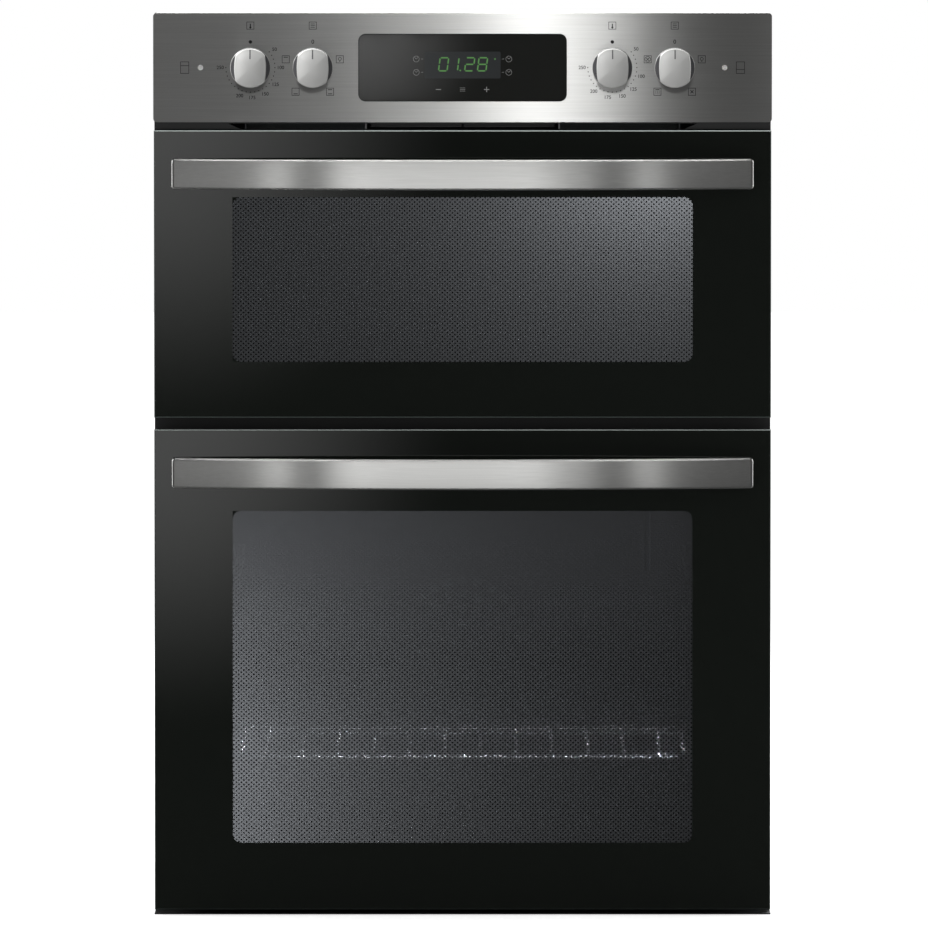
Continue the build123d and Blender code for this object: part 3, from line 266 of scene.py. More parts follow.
# Oxidised steel sheath: brownish grey, dull, with darker scale in patches about 12 mm long.
SCALE_PATCH = 12 * MM
heater_sheath = patterned(
    "oxidised_heater_sheath",
    CLOUDS,
    {"Scale": 1 / SCALE_PATCH, "Detail": 5.0},
    {"Metallic": 0.7, "Roughness": 0.5},
    tones=("#2c2926", "#6d665f"),
)
coat(heater_sheath, "top_grill_element", "top_base_element", "main_ring_element")

# Oven lamps, high on the left of each back wall: a screw-in lens of pressed glass
# in front of a ceramic holder, clamped through the liner.

# Pressed lamp glass: clear, thick, with a faint ripple from the mould every 4 mm.
MOULD_RIPPLE = 4 * MM
lamp_glass = patterned(
    "pressed_lamp_glass",
    CLOUDS,
    {"Scale": 1 / MOULD_RIPPLE},
    {"Base Color": linear("#eef1ee"), "Roughness": 0.08, "IOR": 1.47, "Transmission Weight": 0.85},
    relief=(0.2, 0.3 * MM),
)
coat(lamp_glass, "lamp_lenses")

# Steatite ceramic: matt off-white, a little darker in its pores of about 1 mm.
PORE = 1 * MM
steatite = patterned(
    "steatite_ceramic", CLOUDS, {"Scale": 1 / PORE}, {"Roughness": 0.7}, tones=("#cfc9bb", "#e6e2d8")
)
coat(steatite, "lamp_holders")

# The fan behind its cover in the main cavity, the motors, and the thermostats with their probes.
# The fan is pressed from aluminised sheet; the motors and thermostats have painted steel bodies.

# Aluminised steel: soft white-grey metal with a fine spangle of 3 mm.
FINE_SPANGLE = 3 * MM
aluminised = patterned(
    "aluminised_steel",
    CRYSTALS,
    {"Scale": 1 / FINE_SPANGLE},
    {"Base Color": linear("#bbbec0"), "Metallic": 1.0},
    shine=(0.32, 0.48),
)
coat(aluminised, "oven_fan_blade")

# Grey machine paint: even and slightly glossy, with dust specks about 2 mm apart in its shine.
DUST = 2 * MM
machine_paint = patterned(
    "grey_machine_paint",
    CLOUDS,
    {"Scale": 1 / DUST},
    {"Base Color": linear("#4a4e52")},
    shine=(0.35, 0.6),
)
coat(machine_paint, "fan_motor", "blower_motor", "thermostats")

# Wire racks on the side walls and the two shelves that slide on them.
# Steel wire, bent, spot welded and chromed.

# Chrome on drawn wire: bright, but dulled by the heat, and more so in drawing marks about 3 mm long.
DRAW_MARK = 3 * MM
chromed_wire = patterned(
    "chromed_wire",
    CLOUDS,
    {"Scale": 1 / DRAW_MARK},
    {"Base Color": linear("#d9dbdc"), "Metallic": 1.0},
    shine=(0.22, 0.36),
)
coat(chromed_wire, "top_rack_supports", "main_rack_supports", "top_shelf", "main_shelf")

# Door seals: a hollow rope of braided glass fibre round the mouth of each cavity,
# clipped into the front frame, with a round back that the door squeezes.


def rounded_rectangle(half_width, low, high, radius, steps):
    """Points round a rectangle with round corners, in X and Z, anticlockwise seen from the front."""
    points = []
    corners = ((1, high, 0), (-1, high, 90), (-1, low, 180), (1, low, 270))
    for side, level, start in corners:
        centre_x = side * (half_width - radius)
        centre_z = level - radius if level == high else level + radius
        for step in range(steps + 1):
            turn = math.radians(start + 90 * step / steps)
            points.append((centre_x + radius * math.cos(turn), centre_z + radius * math.sin(turn)))
    return points


# Braided glass fibre: matt grey yarns crossing on the slant, about 2.5 mm apart.
YARN = 2.5 * MM
glass_braid = patterned(
    "braided_glass_fibre",
    ("ShaderNodeTexWave", "Fac"),
    {"Scale": 1 / YARN / 3, "Distortion": 2.0, "Detail": 1.0},
    {"Roughness": 0.85},
    tones=("#4b4c4e", "#86878a"),
    relief=(0.8, 0.6 * MM),
    bands_direction="DIAGONAL",
)

SEAL_HALF_WIDTH = 5 * MM
SEAL_OUTER_CORNER = 32 * MM
SEAL_CORNER_STEPS = 12
SEAL_SECTION_STEPS = 10
for oven in ("top", "main"):
    low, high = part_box(oven + "_door_seal")
    rings = []
    for step in range(SEAL_SECTION_STEPS + 1):
        turn = math.pi * step / SEAL_SECTION_STEPS
        inset = SEAL_HALF_WIDTH * (1 - math.cos(turn))
        y = high.y + (low.y - high.y) * math.sin(turn)
        loop = rounded_rectangle(
            high.x - inset, low.z + inset, high.z - inset, SEAL_OUTER_CORNER - inset, SEAL_CORNER_STEPS
        )
        rings.append([(x, y, z) for x, z in loop])
    count = len(rings[0])
    points = [point for ring in rings for point in ring]
    quads = []
    for ring in range(len(rings)):
        beside = (ring + 1) % len(rings)
        for i in range(count):
            j = (i + 1) % count
            quads.append((ring * count + i, ring * count + j, beside * count + j, beside * count + i))
    seal_mesh = bpy.data.meshes.new(oven + "_seal_rope")
    seal_mesh.from_pydata(points, [], quads)
    seal_mesh.shade_smooth()
    seal = make_piece(oven + "_seal_rope", seal_mesh, [glass_braid], "case")
    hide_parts(oven + "_door_seal")

# Door panes: an outer pane of clear toughened glass with a black enamel printed on its back,
# open in a window that is screened with dots, and an inner pane that reflects heat.
# Both are clamped to the side rails.

# Toughened float glass: clear, with a sharp reflection, and ground edges that look frosted grey.
door_glass = new_material("toughened_float_glass")
place = add_node(door_glass, "ShaderNodeTexCoord", {})
parts = add_node(door_glass, "ShaderNodeSeparateXYZ", {"Vector": place.outputs["Normal"]})
facing = add_node(door_glass, "ShaderNodeMath", {0: parts.outputs["Y"]}, operation="ABSOLUTE")
ground = add_node(
    door_glass,
    "ShaderNodeMapRange",
    {"Value": facing.outputs[0], "From Min": 0.80, "From Max": 0.95, "To Min": 1.0, "To Max": 0.0},
)
sheen = add_node(door_glass, "ShaderNodeFresnel", {"IOR": 1.5})
clear = add_node(door_glass, "ShaderNodeBsdfTransparent", {"Color": linear("#f4f5f6")})
mirror = add_node(door_glass, "ShaderNodeBsdfGlossy", {"Color": linear("#ffffff"), "Roughness": 0.0})
pane = add_node(
    door_glass,
    "ShaderNodeMixShader",
    {0: sheen.outputs["Fac"], 1: clear.outputs["BSDF"], 2: mirror.outputs["BSDF"]},
)
frosted = add_node(
    door_glass,
    "ShaderNodeBsdfPrincipled",
    {"Base Color": linear("#343a38"), "Roughness": 0.5, "Specular IOR Level": 0.1},
)
edged = add_node(
    door_glass,
    "ShaderNodeMixShader",
    {0: ground.outputs["Result"], 1: pane.outputs["Shader"], 2: frosted.outputs["BSDF"]},
)
add_node(door_glass, "ShaderNodeOutputMaterial", {"Surface": edged.outputs["Shader"]})
coat(door_glass, "top_door_outer_glass", "main_door_outer_glass")

# Heat reflecting glass: a thin metal oxide coat leaves a bluish grey haze on it.
coated_glass = new_material("heat_reflecting_glass")
sheen = add_node(coated_glass, "ShaderNodeFresnel", {"IOR": 1.5})
clear = add_node(coated_glass, "ShaderNodeBsdfTransparent", {"Color": linear("#a0a1a3")})
haze = add_node(coated_glass, "ShaderNodeBsdfDiffuse", {"Color": linear("#c8cace")})
film = add_node(
    coated_glass, "ShaderNodeMixShader", {0: 0.08, 1: clear.outputs["BSDF"], 2: haze.outputs["BSDF"]}
)
mirror = add_node(coated_glass, "ShaderNodeBsdfGlossy", {"Color": linear("#eef2f0"), "Roughness": 0.02})
pane = add_node(
    coated_glass,
    "ShaderNodeMixShader",
    {0: sheen.outputs["Fac"], 1: film.outputs["Shader"], 2: mirror.outputs["BSDF"]},
)
add_node(coated_glass, "ShaderNodeOutputMaterial", {"Surface": pane.outputs["Shader"]})
coat(coated_glass, "top_door_inner_glass", "main_door_inner_glass")


def drawn_mesh(name, shape):
    """A mesh of what was drawn as separate points and faces."""
    mesh = bpy.data.meshes.new(name)
    shape.to_mesh(mesh)
    shape.free()
    return mesh


# Fired glass enamel: dense black, with pinholes of about 3 mm spacing in its tone.
PINHOLE = 3 * MM
ENAMEL_BLACKS = ("#151815", "#1b1f1b")
glass_enamel = patterned(
    "fired_glass_enamel",
    CLOUDS,
    {"Scale": 1 / PINHOLE},
    {"Roughness": 0.6, "Specular IOR Level": 0.1},
    tones=ENAMEL_BLACKS,
)

# The same enamel seen through the pane: black with the clean reflection of the glass over it.
# It is drawn just before the front face, so that the glass needs no second reflection there.
enamelled_glass = patterned(
    "enamelled_glass", CLOUDS, {"Scale": 1 / PINHOLE}, {"Roughness": 0.0}, tones=ENAMEL_BLACKS
)

PRINT_MARGIN = 0.9 * MM
PRINT_DEPTH = 0.05 * MM
WINDOW_HALF_WIDTH = 221.5 * MM
WINDOW_CORNER = 8 * MM
WINDOW_CORNER_STEPS = 8
WINDOW_RISE = {"top": (53.7 * MM, 212.4 * MM), "main": (64.7 * MM, 385.5 * MM)}
DOT_PITCH = 4.85 * MM
DOT_ROW = 2.13 * MM
DOT_RADIUS = 0.85 * MM
DOT_SIDES = 8
# The dots at the top of a window as a share of full ones, and the share of its height in which they grow.
DOT_FADE = {"top": (1.0, 0.1), "main": (0.25, 0.45)}
mirror_faces = []
for oven in ("top", "main"):
    body = oven + "_door"
    low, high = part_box(oven + "_door_outer_glass")
    front, back = low.y - PRINT_DEPTH, high.y - PRINT_DEPTH
    window_low = low.z + WINDOW_RISE[oven][0]
    window_high = low.z + WINDOW_RISE[oven][1]
    left, right = low.x + PRINT_MARGIN, high.x - PRINT_MARGIN
    bottom, top = low.z + PRINT_MARGIN, high.z - PRINT_MARGIN
    shape = bmesh.new()
    window = rounded_rectangle(
        WINDOW_HALF_WIDTH, window_low, window_high, WINDOW_CORNER, WINDOW_CORNER_STEPS
    )
    border = [(right, top), (left, top), (left, bottom), (right, bottom)]
    for outline in (border, window):
        loop = [shape.verts.new((x, front, z)) for x, z in outline]
        for i, vertex in enumerate(loop):
            shape.edges.new((loop[i - 1], vertex))
    bmesh.ops.triangle_fill(shape, use_beauty=True, edges=shape.edges[:], normal=(0, -1, 0))
    print_mesh = drawn_mesh(oven + "_door_print", shape)
    print_piece = make_piece(oven + "_door_print", print_mesh, [enamelled_glass], body)
    mirror_faces += [print_piece, nodes[oven + "_door_outer_glass"]]

    points = []
    dots = []
    rows = int((window_high - window_low) / DOT_ROW)
    columns = int(2 * WINDOW_HALF_WIDTH / DOT_PITCH)
    first_z = (window_low + window_high - rows * DOT_ROW) / 2
    for row in range(rows + 1):
        z = first_z + row * DOT_ROW
        smallest, reach = DOT_FADE[oven]
        sunk = min(1, (window_high - z) / (window_high - window_low) / reach)
        radius = DOT_RADIUS * (smallest + (1 - smallest) * sunk)
        in_row = columns - row % 2
        for column in range(in_row + 1):
            x = (column - in_row / 2) * DOT_PITCH
            start = len(points)
            for side in range(DOT_SIDES):
                turn = math.tau * side / DOT_SIDES
                points.append((x + radius * math.cos(turn), back, z + radius * math.sin(turn)))
            dots.append(range(start, start + DOT_SIDES))
    dot_mesh = bpy.data.meshes.new(oven + "_window_dots")
    dot_mesh.from_pydata(points, [], dots)
    dot_piece = make_piece(oven + "_window_dots", dot_mesh, [glass_enamel], body)

# Door side rails and the slotted trims along the top and bottom of each door.
# Moulded from a black plastic that stands the heat, screwed together round the panes.

# Glass filled nylon, moulded: near black, satin, with a spark eroded grain of about 0.8 mm.
GRAIN = 0.8 * MM
black_nylon = patterned(
    "moulded_black_nylon",
    CLOUDS,
    {"Scale": 1 / GRAIN},
    {"Base Color": linear("#161617"), "Roughness": 0.5},
    relief=(0.25, 0.1 * MM),
)
for oven in ("top", "main"):
    coat(black_nylon, oven + "_door_side_rails", oven + "_door_top_trim", oven + "_door_bottom_trim")
coat(black_nylon, "clock_module", "selector_switches", "blower_housing", "blower_wheel")
coat(black_nylon, "terminal_box", "cable_gland")

# Door handles: a flat bar bowed out from the glass, on a post at each end.
# Stainless steel strip, brushed along its length and rounded on its front edges.

# Brushed stainless steel: the fine scratches run left to right, so highlights spread up and down.
# The scratches are drawn 1.4 mm wide and 90 mm long, coarser than real ones, so that they show.
SCRATCH_LENGTH = 90 * MM
SCRATCH_WIDTH = 1.4 * MM


def brushed_steel(name, roughness, **tangent):
    """Stainless steel with scratches along X, whose shine is stretched across them."""
    steel = new_material(name)
    place = add_node(steel, "ShaderNodeTexCoord", {})
    scale = (1 / SCRATCH_LENGTH, 1 / SCRATCH_WIDTH, 1 / SCRATCH_WIDTH)
    stretch = add_node(steel, "ShaderNodeMapping", {"Vector": place.outputs["Object"], "Scale": scale})
    scratches = add_node(
        steel, "ShaderNodeTexNoise", {"Vector": stretch.outputs["Vector"], "Scale": 1.0, "Detail": 3.0}
    )
    tone = add_node(
        steel,
        "ShaderNodeMix",
        {"Factor": scratches.outputs["Fac"], MIX_A: linear("#bdbdbb"), MIX_B: linear("#d2d2d0")},
        data_type="RGBA",
    )
    shine = add_node(
        steel,
        "ShaderNodeMapRange",
        {"Value": scratches.outputs["Fac"], "To Min": roughness - 0.015, "To Max": roughness + 0.015},
    )
    across = add_node(steel, "ShaderNodeTangent", {}, **tangent)
    shader = add_node(
        steel,
        "ShaderNodeBsdfPrincipled",
        {
            "Base Color": tone.outputs[MIXED],
            "Metallic": 1.0,
            "Roughness": shine.outputs["Result"],
            "Anisotropic": 1.0,
            "Tangent": across.outputs["Tangent"],
        },
    )
    add_node(steel, "ShaderNodeOutputMaterial", {"Surface": shader.outputs["BSDF"]})
    return steel


handle_steel = brushed_steel("brushed_stainless_bar", 0.29, direction_type="UV_MAP", uv_map="brushing")

HANDLE_THICKNESS = 12 * MM
HANDLE_CORNER = 3.5 * MM
HANDLE_EDGE = 2.2 * MM
HANDLE_STATIONS = 64
CORNER_STEPS = 10
EDGE_STEPS = 6
HANDLE_SHARP = math.radians(40)
handle_bars = []
for oven in ("top", "main"):
    low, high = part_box(oven + "_door_handle")
    half, half_height = high.x, (high.z - low.z) / 2
    bow = high.y - low.y - HANDLE_THICKNESS
    bow_radius = (half**2 + bow**2) / (2 * bow)
    right_end = []
    for step in range(CORNER_STEPS + 1):
        turn = math.pi / 2 * step / CORNER_STEPS
        lost_height = HANDLE_CORNER * (1 - math.sin(turn))
        right_end.append((half - HANDLE_CORNER * (1 - math.cos(turn)), half_height - lost_height))
    straight = half - HANDLE_CORNER
    middle = [straight * (1 - 2 * step / HANDLE_STATIONS) for step in range(1, HANDLE_STATIONS)]
    stations = right_end + [(x, half_height) for x in middle] + [(-x, h) for x, h in reversed(right_end)]
    points, brushing = [], []
    for x, rise in stations:
        inward = max(0, HANDLE_EDGE - (half - abs(x)))
        set_back = HANDLE_EDGE - math.sqrt(HANDLE_EDGE**2 - inward**2)
        face = low.y + bow_radius - math.sqrt(bow_radius**2 - x**2)
        section = [(HANDLE_THICKNESS, -rise), (HANDLE_THICKNESS, rise)]
        for side in (1, -1):
            for step in range(EDGE_STEPS + 1):
                turn = math.pi / 2 * (step if side > 0 else EDGE_STEPS - step) / EDGE_STEPS
                depth = HANDLE_EDGE * (1 - math.sin(turn))
                section.append((max(depth, set_back), side * (rise - HANDLE_EDGE * (1 - math.cos(turn)))))
        for depth, z in section:
            points.append((x, face + depth, (low.z + high.z) / 2 + z))
            brushing.append((z + depth, x))
    count = len(section)
    faces = [range(count), range(len(points) - count, len(points))]
    for station in range(len(stations) - 1):
        start = station * count
        for i in range(count):
            j = (i + 1) % count
            faces.append((start + i, start + j, start + count + j, start + count + i))
    bar_mesh = bpy.data.meshes.new(oven + "_handle_bar")
    bar_mesh.from_pydata(points, [], faces)
    layer = bar_mesh.uv_layers.new(name="brushing")
    for loop in bar_mesh.loops:
        layer.data[loop.index].uv = brushing[loop.vertex_index]
    shape = bmesh.new()
    shape.from_mesh(bar_mesh)
    bmesh.ops.recalc_face_normals(shape, faces=shape.faces[:])
    shape.to_mesh(bar_mesh)
    shape.free()
    bar_mesh.shade_smooth()
    bar_mesh.set_sharp_from_angle(angle=HANDLE_SHARP)
    bar = make_piece(oven + "_handle_bar", bar_mesh, [handle_steel], oven + "_door")
    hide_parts(oven + "_door_handle")
    handle_bars.append(bar)

# Control fascia: a shallow tray of brushed stainless sheet over the controls,
# with its dials, signs and numbers screen printed in dark grey.
fascia_steel = brushed_steel("brushed_stainless_sheet", 0.30, direction_type="RADIAL", axis="X")
coat(fascia_steel, "control_fascia")

# Screen printing ink: flat dark grey, a little uneven over about 2 mm where the mesh pulled away.
INK_PATCH = 2 * MM
fascia_ink = patterned(
    "screen_printing_ink", CLOUDS, {"Scale": 1 / INK_PATCH}, {"Roughness": 0.6}, tones=("#1b1b1c", "#2a2a2b")
)

INK_PROUD = 0.06 * MM
INK_SUNK = 0.02 * MM
CIRCLE_SIDES = 24


class Print:
    """Flat ink on a face that looks to the front: every mark is a thin plate in one mesh."""

    def __init__(self, face):
        self.front = face - INK_PROUD
        self.back = face + INK_SUNK
        self.shape = bmesh.new()

    def area(self, outline):
        """A filled outline, given anticlockwise in X and Z."""
        front = [self.shape.verts.new((x, self.front, z)) for x, z in outline]
        back = [self.shape.verts.new((x, self.back, z)) for x, z in outline]
        self.shape.faces.new(front)
        self.shape.faces.new(back[::-1])
        for i in range(len(outline)):
            self.shape.faces.new((front[i], front[i - 1], back[i - 1], back[i]))

    def band(self, outer, inner):
        """A closed line between two outlines with as many points each."""
        loops = []
        for outline, y in ((outer, self.front), (inner, self.front), (inner, self.back), (outer, self.back)):
            loops.append([self.shape.verts.new((x, y, z)) for x, z in outline])
        for a in range(4):
            first, second = loops[a - 1], loops[a]
            for i in range(len(outer)):
                self.shape.faces.new((first[i - 1], first[i], second[i], second[i - 1]))

    def stroke(self, start, end, width):
        """A straight line."""
        along = Vector(end) - Vector(start)
        across = Vector((-along.y, along.x)).normalized() * width / 2
        corners = (Vector(start) - across, Vector(end) - across, Vector(end) + across, Vector(start) + across)
        self.area([tuple(corner) for corner in corners])

    def dot(self, x, z, radius):
        self.area(circle(x, z, radius))

    def ring(self, x, z, radius, width):
        self.band(circle(x, z, radius), circle(x, z, radius - width))

    def box(self, x, z, half_width, half_height, width):
        """A rectangular line frame."""
        outer = rectangle(x, z, half_width, half_height)
        self.band(outer, rectangle(x, z, half_width - width, half_height - width))

    def number(self, text, x, z, height):
        """A number in a plain typeface, centred on a point."""
        letters = bpy.data.curves.new("number", "FONT")
        letters.body = text
        letters.size = height / CAPITAL_SHARE
        letters.align_x = "CENTER"
        letters.align_y = "CENTER"
        letters.extrude = (self.back - self.front) / 2
        letters.offset = NUMBER_WEIGHT
        holder = bpy.data.objects.new("number", letters)
        mesh = bpy.data.meshes.new_from_object(holder)
        middle = Matrix.Translation((x, (self.front + self.back) / 2, z))
        mesh.transform(middle @ Matrix.Rotation(math.pi / 2, 4, "X"))
        self.shape.from_mesh(mesh)
        bpy.data.objects.remove(holder)

    def finish(self, name, material, body):
        return make_piece(name, drawn_mesh(name, self.shape), [material], body)


def circle(x, z, radius):
    turns = [math.tau * i / CIRCLE_SIDES for i in range(CIRCLE_SIDES)]
    return [(x + radius * math.cos(turn), z + radius * math.sin(turn)) for turn in turns]


def rectangle(x, z, half_width, half_height):
    sides = ((-1, -1), (1, -1), (1, 1), (-1, 1))
    return [(x + side * half_width, z + level * half_height) for side, level in sides]


CAPITAL_SHARE = 0.7
DIAL_RADIUS = 23.6 * MM
DIAL_DOT = 0.55 * MM
DIAL_FIRST, DIAL_LAST, DIAL_STEP = 50, 270, 10
NUMBER_RADIUS = 29 * MM
NUMBER_HEIGHT = 3.3 * MM
NUMBER_WEIGHT = 0.06 * MM
ZERO_RISE = 24.7 * MM
ZERO_DOT = 1.7 * MM
ZERO_HEIGHT = 1.2 * NUMBER_HEIGHT
SIGN_RISE = 40.4 * MM
SIGN_HALF = 3.7 * MM
LINE = 0.5 * MM

# Each number of a dial, and where it stands in degrees clockwise from the top.
TEMPERATURES = {
    "top_temperature_knob": {50: 53, 100: 90, 125: 124, 150: 151, 175: 177, 200: 201, 250: 270},
    "main_temperature_knob": {50: 52, 100: 107, 125: 136, 150: 161, 175: 189, 200: 218, 250: 270},
}


def knob_axis(name):
    low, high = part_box(name)
    return (low.x + high.x) / 2, (low.z + high.z) / 2


fascia_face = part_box("control_fascia")[0].y
ink = Print(fascia_face)
for name, labels in TEMPERATURES.items():
    x, z = knob_axis(name)
    for angle in range(DIAL_FIRST, DIAL_LAST + 1, DIAL_STEP):
        turn = math.radians(angle)
        ink.dot(x + DIAL_RADIUS * math.sin(turn), z + DIAL_RADIUS * math.cos(turn), DIAL_DOT)
    for value, angle in labels.items():
        turn = math.radians(angle)
        reach = NUMBER_RADIUS
        ink.number(str(value), x + reach * math.sin(turn), z + reach * math.cos(turn), NUMBER_HEIGHT)
    ink.dot(x, z + ZERO_RISE, ZERO_DOT)
    sign_z = z + SIGN_RISE
    ink.box(x, sign_z, SIGN_HALF, SIGN_HALF, LINE)
    ink.stroke((x, sign_z - SIGN_HALF / 2), (x, sign_z + SIGN_HALF / 2), 2 * LINE)
    ink.dot(x, sign_z - SIGN_HALF / 2, 2 * LINE)

# Function signs: squares about 7.4 mm wide with bars, a lamp or a fan in them, round each function knob.
HIGH_SIGN = (26.0 * MM, 8.0 * MM)
LOW_SIGN = (16.6 * MM, -23.2 * MM)
SIGN_PLACES = [(side * x, z) for x, z in (HIGH_SIGN, LOW_SIGN) for side in (-1, 1)]
SIGNS = {
    "top_function_knob": ("roof", "lamp", "floor", "roof floor"),
    "main_function_knob": ("fan ring", "lamp", "roof grill", "fan"),
}
BAR_HALF = 2.0 * MM
BAR_RISE = 2.0 * MM
BAR_PITCH = 0.8 * BAR_RISE
BAR_LINE = 1.4 * LINE
GRILL_PITCH = 0.8 * BAR_HALF
GRILL_TOP = 0.5 * BAR_RISE
GRILL_LINE = 0.6 * LINE
FAN_LINE = 1.3 * LINE
FAN_ARM = 2.1 * MM
LAMP_RADIUS = 1.7 * MM
LAMP_LIFT = 0.4 * MM
LAMP_FOOT_GAP = 0.3 * MM
RING_GAP = 0.8 * MM
for name, signs in SIGNS.items():
    x, z = knob_axis(name)
    ink.number("0", x, z + ZERO_RISE, ZERO_HEIGHT)
    sign_z = z + SIGN_RISE
    ink.box(x, sign_z, SIGN_HALF, SIGN_HALF, LINE)
    for level in (-1, 0, 1):
        bar_z = sign_z + level * BAR_PITCH
        ink.stroke((x - BAR_HALF, bar_z), (x + BAR_HALF, bar_z), LINE)
    for (across, rise), sign in zip(SIGN_PLACES, signs):
        centre_x, centre_z = x + across, z + rise
        ink.box(centre_x, centre_z, SIGN_HALF, SIGN_HALF, LINE)
        if "roof" in sign:
            bar_z = centre_z + BAR_RISE
            ink.stroke((centre_x - BAR_HALF, bar_z), (centre_x + BAR_HALF, bar_z), BAR_LINE)
        if "floor" in sign:
            bar_z = centre_z - BAR_RISE
            ink.stroke((centre_x - BAR_HALF, bar_z), (centre_x + BAR_HALF, bar_z), BAR_LINE)
        if "grill" in sign:
            for step in (-1, 0, 1):
                wire_x = centre_x + step * GRILL_PITCH
                ink.stroke((wire_x, centre_z - BAR_RISE), (wire_x, centre_z + GRILL_TOP), GRILL_LINE)
        if "lamp" in sign:
            ink.ring(centre_x, centre_z + LAMP_LIFT, LAMP_RADIUS, LINE)
            foot = centre_z - LAMP_RADIUS - LAMP_FOOT_GAP
            ink.stroke((centre_x - LINE, foot), (centre_x + LINE, foot), BAR_LINE)
        if "fan" in sign:
            for angle in (45, 135):
                turn = math.radians(angle)
                arm_x, arm_z = FAN_ARM * math.cos(turn), FAN_ARM * math.sin(turn)
                start = (centre_x - arm_x, centre_z - arm_z)
                ink.stroke(start, (centre_x + arm_x, centre_z + arm_z), FAN_LINE)
        if "ring" in sign:
            ink.ring(centre_x, centre_z, SIGN_HALF - RING_GAP, LINE)

# Oven signs beside the pilot lamps: a tall box with a line across, high at the left end and low at the right.
OVEN_SIGN_X = 267.2 * MM
OVEN_SIGN_HALF = (4.2 * MM, 5.8 * MM)
OVEN_SIGN_LINE = 1.9 * MM
for side in (-1, 1):
    x = side * OVEN_SIGN_X
    z = knob_axis("top_function_knob")[1]
    ink.box(x, z, *OVEN_SIGN_HALF, LINE)
    level = z - side * OVEN_SIGN_LINE
    ink.stroke((x - OVEN_SIGN_HALF[0] + LINE, level), (x + OVEN_SIGN_HALF[0] - LINE, level), LINE)
fascia_print = ink.finish("fascia_print", fascia_ink, "case")

# Clock: a black glass let into the fascia, with a lit display behind it
# and touch marks printed on it, glued in from behind.

# Black flashed glass: solid black with a clean, sharp reflection, and faint wipe marks 20 mm wide.
WIPE_MARK = 20 * MM
black_glass = patterned(
    "black_flashed_glass",
    CLOUDS,
    {"Scale": 1 / WIPE_MARK},
    {"Base Color": linear("#272826")},
    shine=(0.01, 0.05),
)
coat(black_glass, "clock_window")

# Smoked display filter: dark grey acrylic, glossy, with a faint raster of 1 mm.
RASTER = 1 * MM
smoked_acrylic = patterned(
    "smoked_acrylic",
    ("ShaderNodeTexChecker", "Fac"),
    {"Scale": 1 / RASTER},
    {"Roughness": 0.12},
    tones=("#3b3e3f", "#404344"),
)

# Fluorescent display segments: a soft green glow, a little paler in the middle of each phosphor grain.
PHOSPHOR = 0.4 * MM
green_segments = patterned(
    "fluorescent_segments",
    CLOUDS,
    {"Scale": 1 / PHOSPHOR},
    {"Base Color": linear("#1d2a1a"), "Roughness": 0.4, "Emission Strength": 0.6},
    tones=("#5a9a50", "#79b06c"),
    tinted="Emission Color",
)

# Pale ink on the glass: an even light grey, thinner in patches of about 1 mm.
PALE_PATCH = 1 * MM
pale_ink = patterned(
    "pale_screen_ink", CLOUDS, {"Scale": 1 / PALE_PATCH}, {"Roughness": 0.6}, tones=("#a4a5a3", "#c9cac8")
)

clock_low, clock_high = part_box("clock_window")
clock_z = (clock_low.z + clock_high.z) / 2
DISPLAY_RISE = 2.5 * MM
DISPLAY_HALF = (36.6 * MM, 12.9 * MM)
DISPLAY_CORNER = 1.5 * MM
DISPLAY_CORNER_STEPS = 6
display = Print(clock_low.y)
display_z = clock_z + DISPLAY_RISE
display.area(
    rounded_rectangle(
        DISPLAY_HALF[0],
        display_z - DISPLAY_HALF[1],
        display_z + DISPLAY_HALF[1],
        DISPLAY_CORNER,
        DISPLAY_CORNER_STEPS,
    )
)
display_piece = display.finish("clock_display", smoked_acrylic, "case")
mirror_faces += [nodes["clock_window"], display_piece]

# The four digits: seven slanted bars each, of which some are lit.
DIGIT_RISE = 3.2 * MM
DIGIT_HALF = (4.1 * MM, 6.3 * MM)
DIGIT_SLANT = 0.13
SEGMENT = 1.3 * MM
SEGMENT_GAP = 0.35 * MM
DIGITS = (("0", -18.2 * MM), ("1", -8.2 * MM), ("2", 6.9 * MM), ("8", 19.2 * MM))
BARS = {
    "top": ((-1, 1), (1, 1)),
    "upper_right": ((1, 1), (1, 0)),
    "lower_right": ((1, 0), (1, -1)),
    "bottom": ((1, -1), (-1, -1)),
    "lower_left": ((-1, -1), (-1, 0)),
    "upper_left": ((-1, 0), (-1, 1)),
    "middle": ((-1, 0), (1, 0)),
}
LIT = {
    "0": ("top", "upper_right", "lower_right", "bottom", "lower_left", "upper_left"),
    "1": ("upper_right", "lower_right"),
    "2": ("top", "upper_right", "middle", "lower_left", "bottom"),
    "8": tuple(BARS),
}
POINT_PLACE = (-2.2 * MM, -5.8 * MM)
STATUS_PLACE = (31.2 * MM, 8.3 * MM)
digits = Print(clock_low.y - INK_PROUD)
digit_z = clock_z + DIGIT_RISE
for digit, digit_x in DIGITS:
    for bar in LIT[digit]:
        ends = [Vector((u * DIGIT_HALF[0], w * DIGIT_HALF[1])) for u, w in BARS[bar]]
        trim = (ends[1] - ends[0]).normalized() * (SEGMENT_GAP + SEGMENT / 4)
        ends = (ends[0] + trim, ends[1] - trim)
        slanted = [(digit_x + end.x + DIGIT_SLANT * end.y, digit_z + end.y) for end in ends]
        digits.stroke(*slanted, SEGMENT)
digits.dot(POINT_PLACE[0], digit_z + POINT_PLACE[1], 0.6 * SEGMENT)
digits.dot(STATUS_PLACE[0], clock_z + STATUS_PLACE[1], 0.6 * SEGMENT)
digit_piece = digits.finish("clock_digits", green_segments, "case")

